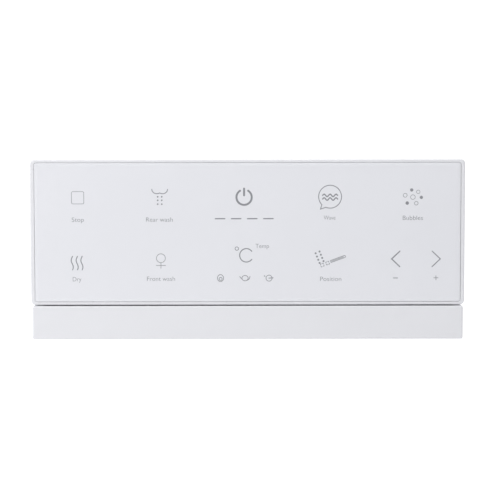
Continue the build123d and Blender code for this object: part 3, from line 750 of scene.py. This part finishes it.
nozzle = Legend("legend_position", 41.4, lower_row)
lean = math.radians(20)
tilt = Vector((math.cos(lean), math.sin(lean)))
across = Vector((-tilt.y, tilt.x))
root, rod_length, rod_half = Vector((0.0, 0.35)), 7.3, 0.5
rod_line, bracket_line = 0.32, 0.3
rod = [root + across * rod_half]
for i in range(7):
    a = math.radians(90 - 30 * i)
    rod.append(root + tilt * (rod_length + rod_half * math.cos(a))
               + across * rod_half * math.sin(a))
rod.append(root - across * rod_half)
nozzle.line(rod, rod_line, closed=True)
nozzle.line([root + tilt * 0.4, root + tilt * (rod_length - 0.6)], bracket_line)
bracket_half, bracket_arm, bracket_down = 0.75, 0.5, 0.2
bracket_inner = bracket_half - bracket_arm
for away in (-1.75, -4.6):
    centre = root + tilt * away - across * bracket_down
    for su, sv in ((1, 1), (-1, 1), (-1, -1), (1, -1)):
        out, up = tilt * su, across * sv
        nozzle.line([centre + out * bracket_inner + up * bracket_half,
                     centre + out * bracket_half + up * bracket_half,
                     centre + out * bracket_half + up * bracket_inner], bracket_line)
spray_step, spray_drop, spray_round = 0.66, 1.6, 0.5
for x, z in ((-7.55, 4.45), (-5.6, 5.35)):
    for i in range(4):
        nozzle.dot(x + spray_step * i, z - spray_drop * i, spray_round)
nozzle.word("Position", 0.0, -8.25, 10.5)
nozzle.printed()

arrows = Legend("legend_arrows", 83.8, -13.8)
point_in, point_out, point_half = 8.05, 12.1, 3.85
for side, width in ((-1, 0.6), (1, 0.5)):
    arrows.line([(side * point_in, point_half), (side * point_out, 0),
                 (side * point_in, -point_half)], width)
arrows.line([(-11.2, -9.5), (-9.1, -9.5)], thin)
arrows.line([(8.95, -9.45), (11.05, -9.45)], fine)
arrows.line([(10.0, -8.4), (10.0, -10.5)], fine)
arrows.printed()

# ---- Circuit board -------------------------------------------------------------------------
# Glass-fibre board under green lacquer, cut edges left raw. A copper ring lies under each touch
# key, and tracks run on its back from the touch chip to the keys.
board_low, board_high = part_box("circuit_board")
key_round, arrow_spread = 5.0 * mm, 10.25 * mm
keys_low, keys_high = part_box("touch_pads")
first_key, last_key = keys_low.x + key_round, keys_high.x - key_round - arrow_spread
upper_keys, lower_keys = keys_high.z - key_round, keys_low.z + key_round
key_xs = [first_key + (last_key - first_key) * i / 4 for i in range(5)]
key_places = ([Vector((x, 0, upper_keys)) for x in key_xs]
              + [Vector((x, 0, lower_keys)) for x in key_xs[:4]]
              + [Vector((last_key + side * arrow_spread, 0, lower_keys)) for side in (-1, 1)])

board, tree, skin = shader("board", Coat_Weight=0.5)
weave_pitch, raw_glass_fibre = 1.2 * mm, (0.62, 0.58, 0.36)
weave = tree.nodes.new("ShaderNodeTexBrick")
weave.inputs["Scale"].default_value = 1 / weave_pitch
weave.inputs["Color1"].default_value = (0.012, 0.17, 0.075, 1)
weave.inputs["Color2"].default_value = (0.010, 0.15, 0.066, 1)
weave.inputs["Mortar"].default_value = (0.014, 0.19, 0.085, 1)
turned_flat = tree.nodes.new("ShaderNodeMapping")
turned_flat.inputs["Rotation"].default_value = (math.radians(90), 0, 0)
tree.links.new(texture_place(tree), turned_flat.inputs["Vector"])
tree.links.new(turned_flat.outputs["Vector"], weave.inputs["Vector"])
facing = tree.nodes.new("ShaderNodeTexCoord")
split = tree.nodes.new("ShaderNodeSeparateXYZ")
size_of = tree.nodes.new("ShaderNodeMath")
size_of.operation = "ABSOLUTE"
tree.links.new(facing.outputs["Normal"], split.inputs[0])
tree.links.new(split.outputs["Y"], size_of.inputs[0])
rim = blend_colours(tree, remap(tree, size_of.outputs[0], 0, 1, 0.4, 0.6), raw_glass_fibre,
                    raw_glass_fibre)
tree.links.new(weave.outputs["Color"], rim.node.inputs[7])
tree.links.new(rim, skin.inputs["Base Color"])
tree.links.new(remap(tree, noise(tree, texture_place(tree), 4 * mm), 0.25, 0.4),
               skin.inputs["Roughness"])
bump(tree, weave.outputs["Fac"], 0.01 * mm)
dress("circuit_board", board)


def metal(name, colour, rough, grain=0.3 * mm):
    """Plated or drawn metal with fine marks."""
    return clouded(name, shaded(colour, 0.85), colour, grain, (rough * 0.75, rough * 1.3),
                   0.004 * mm, 5.0, 0.65, Metallic=1.0)


gold_flash = metal("gold_flash", (0.86, 0.66, 0.28), 0.28)
track_green = clouded("lacquered_track", (0.03, 0.30, 0.12), (0.045, 0.36, 0.15), 2 * mm,
                      (0.3, 0.3), Coat_Weight=0.5)

touch_low, touch_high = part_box("touch_chip")
touch_centre = (touch_low + touch_high) / 2
copper = 0.035 * mm
ring_round, ring_line = 5.35, 0.5
lead_pitch, lead_reach = 0.5, 3.6
lane_start, lane_pitch = 0.8, 0.55
track_line, via_round = 0.3, 0.45
rings_on_board = ThinLayer(0, 0, board_low.y - copper, board_low.y + copper)
tracks = ThinLayer(0, 0, board_high.y + copper, board_high.y - copper)
for n, key in enumerate(key_places):
    kx, kz = key.x / mm, key.z / mm
    rings_on_board.arc(kx, kz, ring_round, ring_line)
    up = 1 if kz > 0 else -1
    from_middle = n - 5
    cx = touch_centre.x / mm + from_middle * lead_pitch
    cz = touch_centre.z / mm + up * lead_reach
    lane = cz + up * (lane_start + lane_pitch * abs(from_middle))
    reach = kx - cx
    slant = abs(reach) / 2 if abs(reach) > 1 else 0
    bend = math.copysign(min(abs(lane - cz), slant), reach)
    fall = math.copysign(min(abs(kz - lane), slant), reach)
    tracks.line([(cx, cz), (cx + bend, lane), (kx - fall, lane), (kx, kz)], track_line)
    tracks.dot(kx, kz, via_round)
set_piece("board_key_rings", rings_on_board.shape, gold_flash, "remote")
set_piece("board_tracks", tracks.shape, track_green, "remote")

# ---- Touch pads ----------------------------------------------------------------------------
# Discs of carbon-filled foam, glued to the board over its copper rings. The glass presses them
# a little, so each has a slight waist between two swollen edges.


def turned(shape, profile, centre, along, steps=32):
    """Turn a profile of (distance along, radius) in millimetres about an axis."""
    side = along.orthogonal().normalized()
    other = along.cross(side)
    rows = []
    for reach, radius in profile:
        turns = [math.tau * i / steps for i in range(steps if radius > 0 else 1)]
        rows.append([shape.verts.new(centre + along * (reach * mm) + (radius * mm)
                                     * (side * math.cos(a) + other * math.sin(a)))
                     for a in turns])
    for a, b in zip(rows, rows[1:]):
        for i in range(steps):
            corners = dict.fromkeys((a[(i - 1) % len(a)], a[i % len(a)],
                                     b[i % len(b)], b[(i - 1) % len(b)]))
            if len(corners) > 2:
                shape.faces.new(tuple(corners))


out_of_wall, right = Vector((0, -1, 0)), Vector((1, 0, 0))
pad_foam = bmesh.new()
pad_profile = [(0, 0), (0, 4.8), (0.12, 4.95), (0.5, 4.98), (1.0, 4.85), (1.5, 4.98), (1.88, 4.95),
               (1.98, 4.8), (1.98, 0)]
for key in key_places:
    turned(pad_foam, pad_profile, Vector((key.x, board_low.y, key.z)), out_of_wall)
key_foam = set_piece("touch_key_foam", pad_foam, foam("carbon_foam", (0.06, 0.06, 0.065), 0.3 * mm),
                     "remote")
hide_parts("touch_pads")

# ---- Lamps and light guides ----------------------------------------------------------------
# Seven small surface-mounted lamps: a white ceramic body with tinned ends and a yellow resin
# window. Two clear guides over them spread the light behind the printed bars and marks.


def block(shape, low, high, edge):
    """Block between two corners with its edges broken."""
    corners = bmesh.ops.create_cube(shape, size=1.0)["verts"]
    for v in corners:
        v.co = Vector(low[k] + (v.co[k] + 0.5) * (high[k] - low[k]) for k in range(3))
    edges = {e for v in corners for e in v.link_edges}
    bmesh.ops.bevel(shape, geom=list(edges), offset=edge, segments=2, profile=0.5, affect="EDGES")


def solid_centres(node, reach):
    """Centres of a node's separate solids that are further apart than reach."""
    groups = []
    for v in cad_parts[node].data.vertices:
        home = [g for g in groups if (g[0] - v.co).length < reach]
        if home:
            home[0][1].append(v.co)
        else:
            groups.append((v.co.copy(), [v.co]))
    return [sum(members, Vector()) / len(members) for _, members in groups]


lamp_low, lamp_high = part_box("indicator_leds")
bodies, windows, ends = bmesh.new(), bmesh.new(), bmesh.new()
half_length, half_width, body_half = 0.8 * mm, 0.4 * mm, 0.5 * mm
body_back, cap_back, cap_lap = 0.25 * mm, 0.3 * mm, 0.45 * mm
body_edge, cap_edge = 0.04 * mm, 0.03 * mm
window_half, window_corner = Vector((0.42 * mm, 0, 0.34 * mm)), 0.15 * mm
window_profile = ((0.26, 0), (0.1, 0), (0.03, 0.05), (0, 0.15))
for centre in solid_centres("indicator_leds", 4 * mm):
    x, z = centre.x, centre.z
    flat = Vector((x, 0, z))
    block(bodies, (x - body_half, lamp_low.y + body_back, z - half_width),
          (x + body_half, lamp_high.y, z + half_width), body_edge)
    loft(windows, [rounded_outline(flat - window_half, flat + window_half, window_corner,
                                   lamp_low.y + rise * mm, inset * mm, 3)
                   for rise, inset in window_profile])
    for side in (-1, 1):
        inner, outer = sorted((x + side * cap_lap, x + side * half_length))
        block(ends, (inner, lamp_low.y + cap_back, z - half_width),
              (outer, lamp_high.y, z + half_width), cap_edge)
tinned = metal("tinned", (0.78, 0.79, 0.80), 0.3)
ceramic = clouded("lamp_ceramic", (0.75, 0.75, 0.72), (0.85, 0.85, 0.82), 0.3 * mm, (0.45, 0.45))
resin = clouded("lamp_resin", (0.80, 0.62, 0.08), (0.90, 0.76, 0.20), 0.2 * mm, (0.25, 0.25),
                Subsurface_Weight=0.2, Subsurface_Scale=0.3 * mm)
lamps = set_piece("lamp_bodies", bodies, ceramic, "remote")
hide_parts("indicator_leds")
set_piece("lamp_windows", windows, resin, "remote")
set_piece("lamp_ends", ends, tinned, "remote")

clear = clouded("clear_acrylic", (0.86, 0.90, 0.92), (0.95, 0.97, 0.98), 1.5 * mm, (0.08, 0.2),
                Transmission_Weight=0.85, IOR=1.49)
dress("light_guides", clear, 0.15 * mm)

# ---- Chips ---------------------------------------------------------------------------------
# Two black epoxy packages with tinned gull-wing leads on all four sides and a round mark at
# the first lead; one reads the touch keys, the other runs the remote.
epoxy = clouded("chip_epoxy", (0.012, 0.012, 0.013), (0.03, 0.03, 0.032), 0.12 * mm, (0.45, 0.6),
                0.01 * mm)


def flat_section(half_width, half_height):
    """Points of a flat strip's section."""
    return [(-half_width, -half_height), (half_width, -half_height),
            (half_width, half_height), (-half_width, half_height)]


chip_pitch, mark_inset = 0.65 * mm, 1.0 * mm
gull_wing = ((-0.1, 0.5), (0.2, 0.5), (0.45, 0.1), (0.9, 0.08))     # outwards, off the board
lead_section = flat_section(0.15 * mm, 0.06 * mm)
first_mark = [(0.01, 0), (0.01, 0.35), (-0.02, 0.4), (-0.02, 0.3), (-0.005, 0.25), (-0.005, 0)]
leads = bmesh.new()
first_marks = bmesh.new()
for node, count in (("main_chip", 8), ("touch_chip", 6)):
    dress(node, epoxy, 0.06 * mm)
    low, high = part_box(node)
    centre, half = (low + high) / 2, (high.x - low.x) / 2
    for quarter in range(4):
        a = math.radians(90 * quarter)
        out = Vector((math.cos(a), 0, math.sin(a)))
        along = Vector((-math.sin(a), 0, math.cos(a)))
        for i in range(count):
            foot = centre + along * (i - (count - 1) / 2) * chip_pitch
            foot.y = low.y
            path = [foot + out * (half + reach * mm) - out_of_wall * rise * mm
                    for reach, rise in gull_wing]
            swept(leads, path, lead_section, along)
    corner = centre + Vector((-half + mark_inset, 0, half - mark_inset))
    corner.y = high.y
    turned(first_marks, first_mark, corner, out_of_wall, 20)
set_piece("chip_leads", leads, tinned, "remote")
set_piece("chip_first_lead_marks", first_marks, ceramic, "remote")

# ---- Radio module --------------------------------------------------------------------------
# Small bought-in board soldered to the main one by pads along its long edges. A drawn tin can
# covers its chip, and the free end carries a folded aerial track.
module_blue = (0.02, 0.10, 0.30)
module_lacquer = clouded("module_lacquer", shaded(module_blue, 0.85), module_blue, 0.3 * mm,
                         (0.2625, 0.455), 0.004 * mm, 5.0, 0.65, Coat_Weight=0.6)
dress("radio_module", module_lacquer, 0.05 * mm)
module_low, module_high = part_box("radio_module")
can_low, can_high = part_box("radio_shield")
edge_pads = bmesh.new()
pad_pitch, pad_count, first_pad = 1.27 * mm, 16, 1.5 * mm
pad_across, pad_deep, pad_proud = 0.75 * mm, 0.9 * mm, 0.05 * mm
pad_front, pad_back, pad_break = 0.02 * mm, 0.03 * mm, 0.02 * mm
for z, way in ((module_low.z, 1), (module_high.z, -1)):
    for i in range(pad_count):
        x = module_low.x + first_pad + i * pad_pitch
        near_edge, inner = sorted((z - way * pad_proud, z + way * pad_deep))
        block(edge_pads, (x, module_low.y - pad_front, near_edge),
              (x + pad_across, module_high.y + pad_back, inner), pad_break)
set_piece("module_edge_pads", edge_pads, gold_flash, "remote")
aerial = ThinLayer(0, 0, module_high.y + pad_back, module_high.y - pad_front)
fold_inset, fold_pitch, fold_count, fold_line = 1.2, 1.4, 8, 0.5
fold_left, fold_right = module_low.x / mm + fold_inset, can_low.x / mm - fold_inset
fold_bottom = (module_low.z + module_high.z) / 2 / mm - fold_pitch * (fold_count - 1) / 2
folds = []
for i in range(fold_count):
    z = fold_bottom + i * fold_pitch
    ends_of_fold = (fold_left, fold_right) if i % 2 else (fold_right, fold_left)
    folds += [(ends_of_fold[0], z), (ends_of_fold[1], z)]
aerial.line(folds, fold_line)
set_piece("module_aerial", aerial.shape, gold_flash, "remote")
dress("radio_shield", metal("drawn_tin", (0.72, 0.73, 0.74), 0.28, 0.6 * mm), 0.12 * mm)
rib_rise = 0.05 * mm
can_marks = ThinLayer((can_low.x + can_high.x) / 2, (can_low.z + can_high.z) / 2,
                      can_high.y + rib_rise, can_high.y - rib_rise)
can_half_width, can_half_height, can_line = 5.2, 4.7, 0.35
can_dot, can_dot_inset = 0.45, 1.3
can_marks.line(flat_section(can_half_width, can_half_height), can_line, closed=True)
can_marks.dot(-can_half_width + can_dot_inset, can_half_height - can_dot_inset, can_dot)
set_piece("can_pressed_rib", can_marks.shape, tinned, "remote")

# ---- Capacitors ----------------------------------------------------------------------------
# Six ceramic chips about the main chip: brown fired bodies with tinned caps on both ends, each
# held by a small wet-looking fillet of solder.
fired = clouded("fired_ceramic", (0.24, 0.15, 0.09), (0.34, 0.22, 0.14), 0.25 * mm, (0.4, 0.55))
dress("board_capacitors", fired, 0.06 * mm)
chip_low, chip_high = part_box("board_capacitors")
caps = bmesh.new()
solder = bmesh.new()
cap_length, cap_width, cap_end = 2.0 * mm, 1.25 * mm, 0.45 * mm
cap_film, fillet_out = 0.03 * mm, 0.1 * mm
solder_fillet = [(0, 0.6), (-0.12, 0.5), (-0.3, 0.28), (-0.45, 0.08), (-0.47, 0)]
for i in range(3):
    x = chip_low.x + cap_length / 2 + i * (chip_high.x - chip_low.x - cap_length) / 2
    for z in (chip_low.z + cap_width / 2, chip_high.z - cap_width / 2):
        for side in (-1, 1):
            inner, outer = sorted((x + side * (cap_length / 2 - cap_end),
                                   x + side * (cap_length / 2 + cap_film)))
            block(caps, (inner, chip_low.y, z - cap_width / 2 - cap_film),
                  (outer, chip_high.y + cap_film, z + cap_width / 2 + cap_film), cap_edge)
            turned(solder, solder_fillet,
                   Vector((x + side * (cap_length / 2 + fillet_out), chip_low.y, z)),
                   out_of_wall, 16)
set_piece("capacitor_ends", caps, tinned, "remote")

# ---- Battery contacts ----------------------------------------------------------------------
# Strips of nickel-plated spring steel: a bridge at one end of the pocket, and a plus and a
# minus strip at the other, whose tails are soldered to the board. Wire springs take up the
# slack behind the minus ends, and a pressed dimple meets each nub.
nickel = metal("bright_nickel", (0.74, 0.72, 0.68), 0.22)
for node in ("minus_contact", "plus_contact", "bridge_contact"):
    dress(node, nickel, 0.08 * mm)
dress("battery_springs", nickel)
dimples = bmesh.new()
cell_low, cell_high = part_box("battery_1")
other_low, other_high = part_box("battery_2")
upper_axis = (cell_low + cell_high) / 2
lower_axis = (other_low + other_high) / 2
dimple = [(-0.2, 2.9), (0.0, 2.9), (0.1, 2.4), (0.1, 2.1), (0.02, 1.7), (0.02, 0)]
solder_cone = [(0, 1.0), (-0.1, 0.85), (-0.35, 0.5), (-0.6, 0.25), (-0.68, 0)]
tail_inset, joint_pitch = 0.2 * mm, 0.9 * mm
plus_face, bridge_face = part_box("plus_contact")[1].x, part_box("bridge_contact")[0].x
for x, z, way in ((bridge_face, upper_axis.z, -1), (plus_face, lower_axis.z, 1)):
    turned(dimples, dimple, Vector((x, upper_axis.y, z)), right * way)
set_piece("contact_dimples", dimples, nickel, "remote")
for z in (upper_axis.z, lower_axis.z):
    for step in (-1, 0, 1):
        turned(solder, solder_cone,
               Vector((plus_face - tail_inset, board_high.y, z + step * joint_pitch)),
               out_of_wall, 20)
solder_alloy = metal("solder", (0.76, 0.77, 0.79), 0.16)
set_piece("solder_joints", solder, solder_alloy, "remote")

# ---- Cells ---------------------------------------------------------------------------------
# Two AAA cells: plated steel cans in a shrunk plastic sleeve that rolls over both rims. The
# sleeve is deep blue with a light band and a printed sign at each end.


def film(name, colour, second):
    """Glossy shrunk film with faint stretch lines round the cell."""
    return clouded(name, colour, second, 3 * mm, (0.16, 0.26), 0.03 * mm, stretch=(4, 1, 1),
                   Coat_Weight=0.5)


blue_film = film("blue_film", (0.012, 0.035, 0.16), (0.018, 0.05, 0.21))
light_film = film("light_film", (0.60, 0.62, 0.64), (0.70, 0.72, 0.74))
cell_round, nub_round, nub_height = 5.25, 1.9, 0.8
band_start, band_end, band_film = 12.5, 6.5, 0.02
sign_in, sign_half, sign_rise = 3.5, 1.25, 0.01
sign_section = flat_section(0.3 * mm, 0.03 * mm)
cans, sleeves, bands = bmesh.new(), bmesh.new(), bmesh.new()
for low, high, way in ((cell_low, cell_high, 1), (other_low, other_high, -1)):
    length = (high.x - low.x) / mm
    middle_of_cell = (low + high) / 2
    foot = Vector((low.x if way > 0 else high.x, middle_of_cell.y, middle_of_cell.z))
    along = right * way
    case = length - nub_height
    turned(cans, [(0.25, 0), (0.25, 3.4), (0.0, 3.7), (0.0, 4.7), (0.3, 5.1), (case - 0.3, 5.1),
                  (case, 4.8), (case, 3.6), (case - 0.35, 3.3), (case - 0.35, 2.5), (case, 2.1),
                  (case + 0.1, nub_round), (length - 0.25, nub_round),
                  (length - 0.06, nub_round - 0.12), (length, nub_round - 0.35), (length, 0)],
           foot, along)
    turned(sleeves, [(0.06, 4.3), (-0.03, 4.35), (-0.03, 4.75), (0.15, 5.1), (0.5, cell_round),
                     (case - 0.5, cell_round), (case - 0.15, 5.1), (case + 0.03, 4.75),
                     (case + 0.03, 4.1), (case - 0.06, 4.05), (case - 0.1, 5.0), (0.1, 5.0),
                     (0.06, 4.3)], foot, along)
    turned(bands, [(case - band_start, cell_round - band_film),
                   (case - band_start, cell_round + band_film),
                   (case - band_end, cell_round + band_film),
                   (case - band_end, cell_round - band_film)], foot, along)
    plus_angles, minus_angles = range(-14, 15, 4), range(-13, 14, 4)
    for reach, angles in ((case - sign_in, plus_angles), (sign_in, minus_angles)):
        spot = foot + along * reach * mm
        arc_points = [spot + (cell_round + sign_rise) * mm
                      * Vector((0, math.cos(math.radians(a)), math.sin(math.radians(a))))
                      for a in angles]
        swept(bands, arc_points, sign_section, right)
        if angles == plus_angles:
            top = spot + Vector((0, (cell_round + 1.5 * sign_rise) * mm, 0))
            swept(bands, [top - right * sign_half * mm, top, top + right * sign_half * mm],
                  sign_section, Vector((0, 0, 1)))
cell_cans = set_piece("cell_cans", cans, nickel, "remote")
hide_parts("battery_1", "battery_2")
set_piece("cell_sleeves", sleeves, blue_film, "remote")
set_piece("cell_bands", bands, light_film, "remote")

# ---- Rear housing --------------------------------------------------------------------------
# White ABS tub of the remote with the tongue that drops into the holder and the battery pocket.
# Its back has the tool's spark grain, a raised border for a label and faint ejector rings.
housing_plastic = moulded_plastic("housing_plastic", abs_white, 0.3 * mm, 0.008 * mm, (0.42, 0.54))
dress("rear_housing", housing_plastic)
back_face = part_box("rear_housing")[1].y
stamp_rise, stamp_root = 0.16 * mm, 0.1 * mm
back_marks = ThinLayer(0, 0, back_face + stamp_rise, back_face - stamp_root)
label_x, label_z, label_half_width, label_half_height, label_corner = -42.0, 4.0, 32.0, 13.0, 2.0
label_line, ejector_round, ejector_line = 0.35, 1.8, 0.16
ejector_places = ((-86, 24), (-86, -22), (0, 27), (0, -38), (-44, -38), (25, 24), (25, -22),
                  (44, -38))
back_marks.line(rounded_rectangle(label_x, label_z, label_half_width, label_half_height,
                                  label_corner), label_line, closed=True)
for x, z in ejector_places:
    back_marks.arc(x, z, ejector_round, ejector_line)
set_piece("housing_back_marks", back_marks.shape, housing_plastic, "remote")

# ---- Housing seal --------------------------------------------------------------------------
# Moulded silicone cord between the lip of the rear housing and the ledge of the frame. The
# four screws squeeze it, which keeps splashes out of the remote.
dress("housing_seal", silicone("seal_silicone", (0.50, 0.50, 0.51)), 0.15 * mm)

# ---- Housing screws ------------------------------------------------------------------------
# Four pan-head self-tapping screws of bright zinc-plated steel, driven from the back. The
# shank has a coarse rolled thread.
zinc = metal("zinc_plate", (0.66, 0.68, 0.71), 0.25)
dress("housing_screws", zinc, 0.1 * mm)
screw_low, screw_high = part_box("housing_screws")
head_half, head_under, plain_tip = 2.3 * mm, 1.6 * mm, 1.0 * mm
screw_x, screw_z = screw_high.x - head_half, screw_high.z - head_half
thread_pitch, thread_round, thread_wire = 1.0 * mm, 1.17 * mm, 0.11 * mm
thread_start, tip_share = 0.4 * mm, 0.55
thread_length = screw_high.y - screw_low.y - head_under - plain_tip
turn_steps = 14
knots = int(thread_length / thread_pitch * turn_steps)
four_corners = [(sx, sz) for sx in (-1, 1) for sz in (-1, 1)]
threads = bmesh.new()
for sx, sz in four_corners:
    path = []
    for i in range(knots + 1):
        a = math.tau * i / turn_steps
        fade = min(1, (knots - i) / turn_steps + tip_share)
        path.append(Vector((sx * screw_x + thread_round * fade * math.cos(a),
                            screw_high.y - head_under - thread_start - thread_length * i / knots,
                            sz * screw_z + thread_round * fade * math.sin(a))))
    swept(threads, path, round_section(thread_wire, 6))
set_piece("screw_threads", threads, zinc, "remote")

# ---- Screw plugs ---------------------------------------------------------------------------
# Soft white plugs pressed into the screw wells, each with a collar and a low rib at the rim
# for a fingernail to pry at.
plug_low, plug_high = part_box("screw_plugs")
plug_round = 2.5 * mm
plug_x, plug_z = plug_high.x - plug_round, plug_high.z - plug_round
plug_profile = [(0, 0), (0, 2.0), (0.3, 2.3), (0.8, 2.35), (1.1, 2.5), (1.75, 2.5), (1.95, 2.38),
                (2.0, 2.2), (2.0, 1.1), (1.9, 0.9), (1.86, 0)]
pry_rise, pry_root, pry_round, pry_line = 0.03 * mm, 0.1 * mm, 1.65, 0.3
plugs = bmesh.new()
pry_ribs = ThinLayer(0, 0, plug_high.y + pry_rise, plug_high.y - pry_root)
for sx, sz in four_corners:
    turned(plugs, plug_profile, Vector((sx * plug_x, plug_low.y, sz * plug_z)), -out_of_wall)
    pry_ribs.arc(sx * plug_x / mm, sz * plug_z / mm, pry_round, pry_line, 240, 300)
white_silicone = silicone("white_silicone", (0.74, 0.74, 0.75))
rubber_plugs = set_piece("rubber_plugs", plugs, white_silicone, "remote")
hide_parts("screw_plugs")
set_piece("plug_pry_ribs", pry_ribs.shape, white_silicone, "remote")

# ---- Battery door --------------------------------------------------------------------------
# Sliding door of the same ABS as the rear housing, with three finger grooves and a raised arrow
# that shows which way it opens.
dress("battery_door", housing_plastic)
door_low, door_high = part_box("battery_door")
door_rise, door_root = 0.2 * mm, 0.1 * mm
door_arrow = ThinLayer((door_low.x + door_high.x) / 2, 0, door_high.y + door_rise,
                       door_high.y - door_root)
head_tip, head_back, head_half_height = 2.2, -1.8, 2.6
shaft_start, shaft_end, shaft_line = -8.5, -2.2, 1.1
door_arrow.plate([(head_tip, 0.0), (head_back, head_half_height), (head_back, -head_half_height)])
door_arrow.line([(shaft_start, 0), (shaft_end, 0)], shaft_line)
set_piece("door_arrow", door_arrow.shape, housing_plastic, "battery_door")

# ---- Door foam -----------------------------------------------------------------------------
# Block of soft grey foam stuck inside the door. It presses lightly on both cells, which keeps
# them from rattling.
foam_low, foam_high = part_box("battery_foam")
cushion_corner, cushion_edge, cushion_waist = 1.5 * mm, 0.12 * mm, 0.05 * mm
cushion = bmesh.new()
soft_block(cushion, foam_low, foam_high, cushion_corner, cushion_edge, cushion_waist)
door_cushion = set_piece("door_cushion", cushion, foam("grey_foam", (0.16, 0.16, 0.17), 0.5 * mm),
                         "battery_door")
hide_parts("battery_foam")

low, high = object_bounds()
